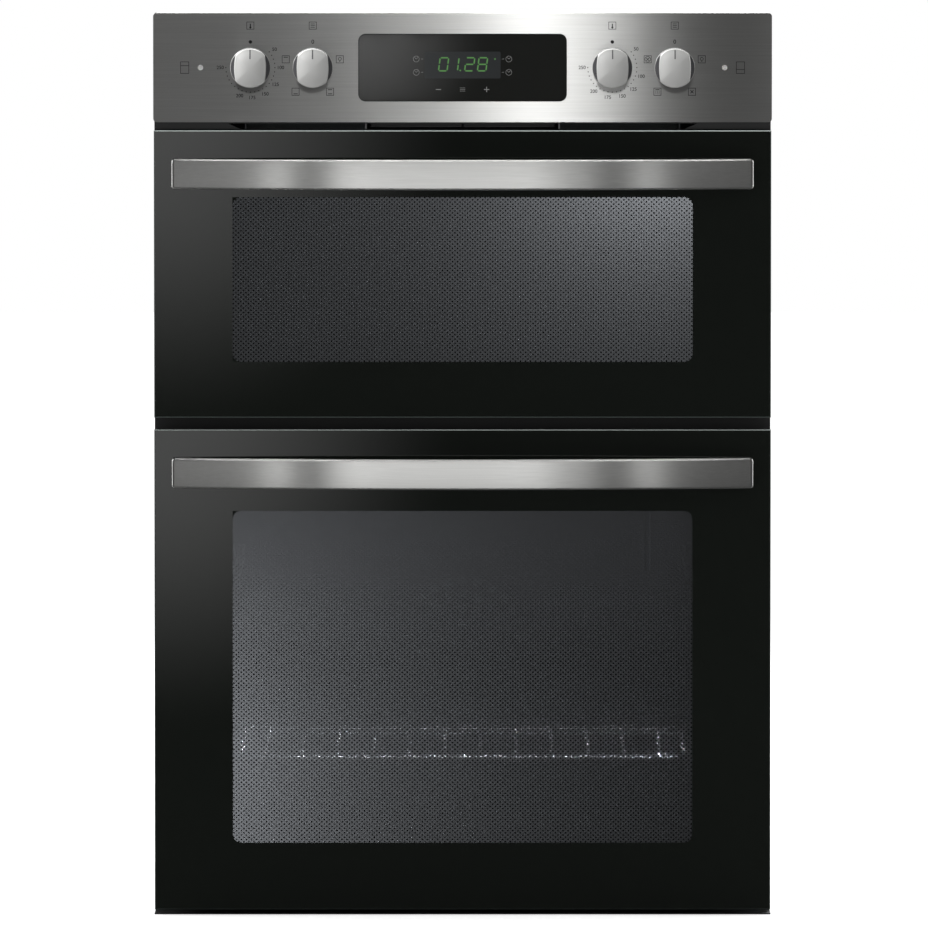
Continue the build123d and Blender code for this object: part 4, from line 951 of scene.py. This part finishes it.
# Signs beside the display, and the touch marks under it: less, three bars, and more.
CLOCK_SIGN_X = 44.5 * MM
CLOCK_SIGN_RISES = (8.3 * MM, -4.5 * MM)
CLOCK_SIGN_RADIUS = 3.0 * MM
CLOCK_HAND = 0.55 * CLOCK_SIGN_RADIUS
CLOCK_DASH = 2.0 * MM
CLOCK_DASH_GAP = 1.6 * MM
CLOCK_LINE = 0.32 * MM
TOUCH_RISE = -21.0 * MM
TOUCH_X = 23.2 * MM
TOUCH_HALF = 2.5 * MM
TOUCH_BAR_PITCH = 1.5 * MM
TOUCH_LINE = 0.7 * MM
marks = Print(clock_low.y)
for side in (-1, 1):
    for rise in CLOCK_SIGN_RISES:
        x, z = side * CLOCK_SIGN_X, clock_z + rise
        marks.ring(x, z, CLOCK_SIGN_RADIUS, CLOCK_LINE)
        marks.stroke((x, z), (x - CLOCK_HAND, z + CLOCK_HAND), CLOCK_LINE)
        marks.stroke((x, z), (x + CLOCK_HAND, z + CLOCK_HAND), CLOCK_LINE)
        inner = x - side * (CLOCK_SIGN_RADIUS + CLOCK_DASH_GAP)
        start, end = sorted((inner, inner - side * CLOCK_DASH))
        marks.stroke((start, z), (end, z), CLOCK_LINE)
touch_z = clock_z + TOUCH_RISE
for side in (-1, 1):
    x = side * TOUCH_X
    marks.stroke((x - TOUCH_HALF, touch_z), (x + TOUCH_HALF, touch_z), TOUCH_LINE)
for side in (-1, 1):
    arm = (touch_z + side * TOUCH_LINE / 2, touch_z + side * TOUCH_HALF)
    marks.stroke((TOUCH_X, min(arm)), (TOUCH_X, max(arm)), TOUCH_LINE)
for step in (-1, 0, 1):
    bar_z = touch_z + step * TOUCH_BAR_PITCH
    marks.stroke((-TOUCH_HALF, bar_z), (TOUCH_HALF, bar_z), CLOCK_LINE)
mark_piece = marks.finish("clock_marks", pale_ink, "case")

# Pilot lamps: a round white lens at each end of the fascia, pushed in from behind.

# Opal acrylic: milky white, glossy, a little brighter in its middle grain of 2 mm.
OPAL_GRAIN = 2 * MM
opal_acrylic = patterned(
    "opal_acrylic",
    CLOUDS,
    {"Scale": 1 / OPAL_GRAIN},
    {"Roughness": 0.2, "Subsurface Weight": 0.1, "Subsurface Scale": 1 * MM},
    tones=("#e4e4e2", "#f4f4f2"),
)
coat(opal_acrylic, "pilot_lamps")

# Control knobs: a dark skirt with a bright rim, and a domed grip with two flattened sides
# and a line that points at the dial. Moulded plastic, plated in satin silver, pushed onto a steel spindle.

# Satin plating: silver metal with a soft sheen, slightly uneven over about 6 mm.
SATIN_PATCH = 6 * MM
satin_silver = patterned(
    "satin_plated_plastic",
    CLOUDS,
    {"Scale": 1 / SATIN_PATCH},
    {"Base Color": linear("#d6d6d4"), "Metallic": 0.45},
    shine=(0.42, 0.50),
)

# Grey plated skirt: the same plastic in a darker, smoother finish, clouded over about 8 mm.
SKIRT_CLOUD = 8 * MM
dark_plating = patterned(
    "dark_plated_plastic",
    CLOUDS,
    {"Scale": 1 / SKIRT_CLOUD},
    {"Base Color": linear("#6a6a6c"), "Metallic": 0.25},
    shine=(0.24, 0.34),
)

KNOB_STEPS = 96
KNOB_SHARP = math.radians(35)
GRIP_RADIUS = 18.9 * MM
SIDE_ROUND = 62 * MM
SIDE_OFFSET = 46.7 * MM
GRIP_DOME = 3.0 * MM
DOME_SHARES = (0.15, 0.3, 0.45, 0.6, 0.75, 0.9)
GRIP_EDGE = 1.6 * MM
EDGE_TURNS = (0, 18, 36, 54, 72, 90)
GRIP_DEPTH = 18.4 * MM
SKIRT_RADIUS = 19.3 * MM
SKIRT_RIM = 0.3 * MM
SKIRT_DEPTH = 23.4 * MM
SPINDLE_RADIUS = 3 * MM
POINTER_REACH = (8.8 * MM, 17.6 * MM)
POINTER_HALF = 0.6 * MM
POINTER_STEPS = 6
SILVER, DARK, STEEL = 0, 1, 2
knob_caps = []


def grip_radius(turn):
    """From the axis to the edge of the grip: a circle with two flatter sides."""
    across = SIDE_OFFSET * abs(math.sin(turn))
    side = math.sqrt(SIDE_ROUND**2 - (SIDE_OFFSET * math.cos(turn)) ** 2) - across
    return min(GRIP_RADIUS, side)


def round_radius(radius):
    """The same distance all round, for the skirt and the spindle."""
    return lambda turn: radius


def inset_grip(share, inset):
    """A smaller outline like the grip's."""
    return lambda turn: share * (grip_radius(turn) - inset)


def knob_rings(spindle_depth):
    """Outlines from the front of the knob to the end of its spindle: radius, depth and finish."""
    rings = []
    for share in DOME_SHARES:
        rings.append((inset_grip(share, GRIP_EDGE), GRIP_DOME * share**2, SILVER))
    for angle in EDGE_TURNS:
        turn = math.radians(angle)
        inset = GRIP_EDGE * (1 - math.sin(turn))
        rings.append((inset_grip(1, inset), GRIP_DOME + GRIP_EDGE * (1 - math.cos(turn)), SILVER))
    rings.append((inset_grip(1, 0), GRIP_DEPTH, DARK))
    rings.append((round_radius(SKIRT_RADIUS - SKIRT_RIM), GRIP_DEPTH, DARK))
    rings.append((round_radius(SKIRT_RADIUS), GRIP_DEPTH + SKIRT_RIM, SILVER))
    rings.append((round_radius(SKIRT_RADIUS), SKIRT_DEPTH, DARK))
    rings.append((round_radius(SPINDLE_RADIUS), SKIRT_DEPTH, DARK))
    rings.append((round_radius(SPINDLE_RADIUS), spindle_depth, STEEL))
    return rings


for name in ("top_temperature", "top_function", "main_temperature", "main_function"):
    low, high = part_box(name + "_knob")
    x, z = knob_axis(name + "_knob")
    shape = bmesh.new()
    previous = None
    for radius, depth, finish in knob_rings(high.y - low.y):
        ring = []
        for step in range(KNOB_STEPS):
            turn = math.tau * step / KNOB_STEPS
            reach = radius(turn)
            point = (x + reach * math.sin(turn), low.y + depth, z + reach * math.cos(turn))
            ring.append(shape.verts.new(point))
        if previous is None:
            shape.faces.new(ring)
        else:
            for i in range(KNOB_STEPS):
                face = shape.faces.new((previous[i - 1], previous[i], ring[i], ring[i - 1]))
                face.material_index = finish
        previous = ring
    shape.faces.new(previous).material_index = STEEL
    bmesh.ops.recalc_face_normals(shape, faces=shape.faces[:])
    knob_mesh = drawn_mesh(name + "_cap", shape)
    knob_mesh.shade_smooth()
    knob_mesh.set_sharp_from_angle(angle=KNOB_SHARP)
    body = name + "_control"
    knob = make_piece(name + "_cap", knob_mesh, [satin_silver, dark_plating, zinc_plate], body)
    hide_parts(name + "_knob")

    shape = bmesh.new()
    sections = []
    for step in range(POINTER_STEPS + 1):
        reach = POINTER_REACH[0] + (POINTER_REACH[1] - POINTER_REACH[0]) * step / POINTER_STEPS
        depth = GRIP_DOME * min(1, reach / (GRIP_RADIUS - GRIP_EDGE)) ** 2
        y = low.y + depth
        corners = ((-1, -INK_PROUD), (1, -INK_PROUD), (1, INK_SUNK), (-1, INK_SUNK))
        sections.append([shape.verts.new((x + u * POINTER_HALF, y + dy, z + reach)) for u, dy in corners])
    for first, second in zip(sections, sections[1:]):
        for i in range(4):
            shape.faces.new((first[i - 1], first[i], second[i], second[i - 1]))
    shape.faces.new(sections[0])
    shape.faces.new(sections[-1][::-1])
    bmesh.ops.recalc_face_normals(shape, faces=shape.faces[:])
    pointer = make_piece(name + "_pointer", drawn_mesh(name + "_pointer", shape), [dark_plating], body)
    knob_caps += [knob, pointer]

# Studio: a pale floor, soft lamps above and beside, dark screens in front that keep the glass black,
# and a long lens a little above the oven.
CAMERA_DISTANCE = 12.0
CAMERA_HEIGHT = 1.15
FRONT_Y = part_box("top_door_outer_glass")[0].y
FRAME_WIDTH = 894 * MM
AIM = Vector((1.4 * MM, FRONT_Y, 436.3 * MM))
eye = Vector((AIM.x, FRONT_Y - CAMERA_DISTANCE, CAMERA_HEIGHT))
lens = bpy.data.cameras.new("long_lens")
lens.lens = lens.sensor_width * (AIM - eye).length / FRAME_WIDTH
camera = bpy.data.objects.new("camera", lens)
camera.location = eye
camera.rotation_euler = (AIM - eye).to_track_quat("-Z", "Y").to_euler()
bpy.context.scene.collection.objects.link(camera)
bpy.context.scene.camera = camera
bpy.context.scene.view_settings.view_transform = "Standard"


def stage_card(name, corners, material):
    """A flat screen or floor that is not part of the oven, of one or more four-cornered fields."""
    mesh = bpy.data.meshes.new(name)
    mesh.from_pydata(corners, [], [range(start, start + 4) for start in range(0, len(corners), 4)])
    mesh.materials.append(material)
    screen = bpy.data.objects.new(name, mesh)
    bpy.context.scene.collection.objects.link(screen)
    return screen


def flat_field(half_width, near, far, level):
    """The corners of a level field, given by its half width and two edges."""
    corners = ((-half_width, near), (half_width, near), (half_width, far), (-half_width, far))
    return [(x, y, level) for x, y in corners]


# Pale floor: white paint that shows the shade under the oven, lifted to plain white farther away.
FLOOR_NEAR, FLOOR_FAR = 0.5, 1.5
floor_paint = new_material("pale_floor")
path = add_node(floor_paint, "ShaderNodeLightPath", {})
seen = add_node(
    floor_paint,
    "ShaderNodeMath",
    {0: path.outputs["Is Camera Ray"], 1: path.outputs["Is Transmission Ray"]},
    operation="MAXIMUM",
)
place = add_node(floor_paint, "ShaderNodeTexCoord", {})
away = add_node(floor_paint, "ShaderNodeVectorMath", {0: place.outputs["Object"]}, operation="LENGTH")
lift = add_node(
    floor_paint,
    "ShaderNodeMapRange",
    {
        "Value": away.outputs["Value"],
        "From Min": FLOOR_NEAR,
        "From Max": FLOOR_FAR,
        "To Min": 0.72,
        "To Max": 1.0,
    },
)
shown = add_node(
    floor_paint, "ShaderNodeMath", {0: seen.outputs[0], 1: lift.outputs["Result"]}, operation="MULTIPLY"
)
glow = add_node(floor_paint, "ShaderNodeEmission", {"Strength": shown.outputs[0]})
matt = add_node(floor_paint, "ShaderNodeBsdfDiffuse", {"Color": linear("#dcdcdc")})
both = add_node(floor_paint, "ShaderNodeAddShader", {0: matt.outputs["BSDF"], 1: glow.outputs["Emission"]})
add_node(floor_paint, "ShaderNodeOutputMaterial", {"Surface": both.outputs["Shader"]})
FLOOR_HALF = 12.0
FLOOR_LEVEL = -0.2 * MM
stage_card("floor", flat_field(FLOOR_HALF, -FLOOR_HALF, FLOOR_HALF, FLOOR_LEVEL), floor_paint)

# World: white to the lens and through panes, dim in mirrors, and a plain soft fill for the rest.
world = bpy.data.worlds.new("studio")
bpy.context.scene.world = world
world.use_nodes = True
world.node_tree.nodes.clear()
path = add_node(world, "ShaderNodeLightPath", {})
seen = add_node(
    world,
    "ShaderNodeMath",
    {0: path.outputs["Is Camera Ray"], 1: path.outputs["Is Transmission Ray"]},
    operation="MAXIMUM",
)
fill = add_node(
    world, "ShaderNodeMapRange", {"Value": path.outputs["Is Glossy Ray"], "To Min": 0.4, "To Max": 0.12}
)
level = add_node(
    world,
    "ShaderNodeMapRange",
    {"Value": seen.outputs[0], "To Min": fill.outputs["Result"], "To Max": 1.0},
)
sky = add_node(
    world, "ShaderNodeBackground", {"Color": linear("#ffffff"), "Strength": level.outputs["Result"]}
)
add_node(world, "ShaderNodeOutputWorld", {"Surface": sky.outputs["Background"]})


def screen_material(name, strength):
    """A screen that shows one even tone to the mirrors and panes."""
    material = new_material(name)
    glow = add_node(material, "ShaderNodeEmission", {"Strength": strength})
    add_node(material, "ShaderNodeOutputMaterial", {"Surface": glow.outputs["Emission"]})
    return material


def upright_card(name, x0, x1, distance, z0, z1, material):
    """A screen that stands in front of the oven and shows only in its reflections."""
    y = FRONT_Y - distance
    screen = stage_card(name, [(x0, y, z0), (x1, y, z0), (x1, y, z1), (x0, y, z1)], material)
    hide_but_mirrored(screen)


def hide_but_mirrored(screen):
    screen.visible_camera = False
    screen.visible_diffuse = False
    screen.visible_transmission = False
    screen.visible_volume_scatter = False
    screen.visible_shadow = False


BLACK_SCREEN = screen_material("black_screen", 0.05)
GREY_SCREEN = screen_material("grey_screen", 0.06)
SCREEN_DISTANCE = 3.0
SCREEN_HALF = 4.0
SCREEN_SPLIT = 0.82
SCREEN_TOP = 4.0
upright_card("low_screen", -SCREEN_HALF, SCREEN_HALF, SCREEN_DISTANCE, 0, SCREEN_SPLIT, BLACK_SCREEN)
upright_card("high_screen", -SCREEN_HALF, SCREEN_HALF, SCREEN_DISTANCE, SCREEN_SPLIT, SCREEN_TOP, GREY_SCREEN)
GROUND_LEVEL = 1 * MM
GROUND_GAP = 20 * MM
ground = flat_field(SCREEN_HALF, FRONT_Y - SCREEN_DISTANCE, FRONT_Y - GROUND_GAP, GROUND_LEVEL)
ground_screen = stage_card("ground_screen", ground, BLACK_SCREEN)
hide_but_mirrored(ground_screen)

# Soft glows that the glass mirrors at the upper left of the clock, and of each door round its window.
GLOW_DISTANCE = 2.0
SPREAD = 1 + GLOW_DISTANCE / CAMERA_DISTANCE


def mirrored(x, z):
    """Where the lens sees a point of the front mirrored, on the glow screens."""
    return AIM.x + (x - AIM.x) * SPREAD, max(1 * MM, CAMERA_HEIGHT + (z - CAMERA_HEIGHT) * SPREAD)


def piece_list(name, pieces):
    """A collection that tells a lamp or a glow which pieces it reaches."""
    collection = bpy.data.collections.new(name)
    for piece in pieces:
        collection.objects.link(piece)
    return collection


def glow_card(name, outline, corner, radius, strength):
    """A screen that covers an outline of the front when mirrored, and fades from a corner."""
    corner_x, corner_z = mirrored(*corner)
    reach = radius * SPREAD
    material = new_material(name)
    place = add_node(material, "ShaderNodeTexCoord", {})
    ellipse = add_node(
        material,
        "ShaderNodeMapping",
        {
            "Vector": place.outputs["Object"],
            "Location": (-corner_x / reach, 0, -corner_z / reach),
            "Scale": (1 / reach, 0, 1 / reach),
        },
    )
    away = add_node(material, "ShaderNodeVectorMath", {0: ellipse.outputs["Vector"]}, operation="LENGTH")
    fade = add_node(
        material,
        "ShaderNodeMapRange",
        {"Value": away.outputs["Value"], "To Min": strength, "To Max": 0.05},
        interpolation_type="SMOOTHSTEP",
    )
    glow = add_node(material, "ShaderNodeEmission", {"Strength": fade.outputs["Result"]})
    add_node(material, "ShaderNodeOutputMaterial", {"Surface": glow.outputs["Emission"]})
    y = FRONT_Y - GLOW_DISTANCE
    corners = [(x, y, z) for x, z in (mirrored(*point) for point in outline)]
    card = stage_card(name, corners, material)
    hide_but_mirrored(card)
    card.light_linking.receiver_collection = piece_list(name + "_faces", mirror_faces)


GLOW_RADIUS = 0.30
GLOW_MARGIN = 50 * MM
GLOW_RISE = 5 * MM
for oven in ("top", "main"):
    low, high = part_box(oven + "_door_outer_glass")
    left, right = low.x - GLOW_MARGIN, low.x + GLOW_RADIUS
    bottom, top = max(low.z, high.z - GLOW_RADIUS), high.z + GLOW_RISE
    window_left, window_top = -WINDOW_HALF_WIDTH, low.z + WINDOW_RISE[oven][1]
    window_low = max(bottom, low.z + WINDOW_RISE[oven][0])
    outline = [(left, bottom), (window_left, bottom), (window_left, top), (left, top)]
    outline += [(window_left, window_top), (right, window_top), (right, top), (window_left, top)]
    outline += [(window_left, bottom), (right, bottom), (right, window_low), (window_left, window_low)]
    glow_card(oven + "_door_glow", outline, (low.x, high.z), GLOW_RADIUS, 1.5)
CLOCK_GLOW_RADIUS = 0.13
CLOCK_GLOW_MARGIN = 10 * MM
low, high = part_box("clock_window")
left, right = low.x - CLOCK_GLOW_MARGIN, low.x + CLOCK_GLOW_RADIUS
outline = [(left, low.z), (right, low.z), (right, high.z), (left, high.z)]
glow_card("clock_glow", outline, (low.x, high.z), CLOCK_GLOW_RADIUS, 1.8)


def lamp(name, place, aim, size, power, only=(), shining_through=False):
    """A soft rectangular lamp, which may light only some pieces, and shine on them through all others."""
    light = bpy.data.lights.new(name, "AREA")
    light.shape = "RECTANGLE"
    light.size, light.size_y = size
    light.energy = power
    holder = bpy.data.objects.new(name, light)
    holder.location = place
    holder.rotation_euler = (Vector(aim) - Vector(place)).to_track_quat("-Z", "Y").to_euler()
    holder.visible_camera = False
    bpy.context.scene.collection.objects.link(holder)
    if only:
        holder.light_linking.receiver_collection = piece_list(name + "_lit", only)
    if shining_through:
        holder.light_linking.blocker_collection = piece_list(name + "_blockers", only)
    return holder


MIDDLE = Vector((0, 0, 0.45))
lamp("top_lamp", (0, 0.5, 2.6), MIDDLE, (1.8, 1.2), 40)
lamp("left_lamp", (-2.6, 0.3, 1.7), MIDDLE, (1.4, 1.8), 40)
lamp("right_lamp", (2.6, 0.3, 1.7), MIDDLE, (1.4, 1.8), 32)
lamp("back_lamp", (0.4, 2.8, 1.9), MIDDLE, (1.8, 1.4), 45)
lamp("knob_lamp", (-3.0, FRONT_Y - 1.65, 3.3), (0, FRONT_Y, 0.82), (1.2, 1.2), 212, knob_caps)


def lamp_row(name, distance, height, level, strips, pieces, share=1.0, shining_through=False):
    """Lamps side by side before the oven, given by their left and right edge and their brightness."""
    for left, right, brightness in strips:
        width = right - left
        place = Vector(((left + right) / 2, FRONT_Y - distance, level))
        power = share * brightness * math.pi * width * height
        lamp(name, place, place + Vector((0, 1, 0)), (width, height), power, pieces, shining_through)


# Rows of strips whose smeared images make the bright bands of the brushed fascia and handles.
FASCIA_STRIPS = (
    (-0.7, -0.2, 2.0),
    (-0.2, -0.1, 3.4),
    (-0.1, 0.0, 9.0),
    (0.0, 0.05, 19.5),
    (0.05, 0.1, 43.0),
    (0.1, 0.17, 20.0),
    (0.4, 0.6, 18.0),
)
HANDLE_STRIPS = (
    (-1.32, -0.743, 0.65),
    (-0.743, -0.66, 4.1),
    (-0.496, -0.33, 3.4),
    (-0.33, 0.165, 2.8),
    (0.165, 0.33, 3.2),
    (0.33, 0.496, 1.6),
    (0.66, 0.743, 3.2),
    (0.743, 1.32, 0.2),
)
fascia = [nodes["control_fascia"]]
lamp_row("fascia_strip", 1.0, 0.10, 1.10, FASCIA_STRIPS, fascia, 0.7)
lamp_row("low_fascia_strip", 1.0, 0.10, 0.52, FASCIA_STRIPS, fascia, 0.3, shining_through=True)
lamp_row("handle_strip", 1.95, 0.66, 0.48, HANDLE_STRIPS, handle_bars)

# Lamps that raise the haze of the inner panes: one near the upper right and the lower left, one far off.
for oven, near, power, fill in (
    ("top", (0.20, FRONT_Y - 0.12, 0.80), 2.7, 28),
    ("main", (-0.42, FRONT_Y - 0.27, 0.10), 7.9, 10),
):
    pane = [nodes[oven + "_door_inner_glass"]]
    low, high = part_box(oven + "_door_inner_glass")
    ahead = (near[0], FRONT_Y, near[2])
    for place, aim, watts in ((near, ahead, power), ((0, FRONT_Y - 1.0, 1.9), (low + high) / 2, fill)):
        lamp(oven + "_veil", place, aim, (0.1, 0.1), watts, pane, shining_through=True)

# Lamps above for the ground top edges of the panes and the rounded ones of the handles.
panes = [nodes["top_door_outer_glass"], nodes["main_door_outer_glass"]]
for name, distance, power, pieces in (("pane_edge", 0.1, 170, panes), ("handle_edge", 0.35, 11, handle_bars)):
    place = (0, FRONT_Y - distance, 2.2)
    lamp(name, place, (0, FRONT_Y, 0.6), (1.4, 0.3), power, pieces, shining_through=True)

# One below, for the lower edge of the upper pane.
place = (0, FRONT_Y - 0.5, 0.05)
lamp("pane_under", place, (0, FRONT_Y, 0.48), (1.2, 0.1), 5, panes[:1], shining_through=True)

# Lamps before the black frame in the gaps, the air outlet, and the duct and blower behind it.
for name, height, power, through, lit in (
    ("frame_lamp", 0.6, 1.1, False, ("front_frame",)),
    ("vent_lamp", 0.6, 1.9, False, ("vent_strip",)),
    ("duct_lamp", 0.8, 0.7, True, ("cooling_duct", "compartment_floor")),
    ("blower_lamp", 0.8, 20, True, ("blower_wheel", "blower_housing")),
):
    pieces = [nodes[piece] for piece in lit]
    lamp(name, (0, FRONT_Y - 1.5, height), (0, FRONT_Y, height), (1, 1), power, pieces, through)

# Two that pick out the wires of the main shelf: one behind it, and one over its front wire.
shelf = [nodes["main_shelf"]]
for place, aim, size, power in (
    ((0.08, 0.45, 0.30), (0.12, -0.2, 0.15), (0.5, 0.5), 8.0),
    ((0.02, -0.29, 0.18), (0.02, -0.245, 0.15), (0.42, 0.06), 0.5),
):
    glint = lamp("shelf_glint", place, aim, size, power, shelf, shining_through=True)
    glint.data.cycles.use_multiple_importance_sampling = False
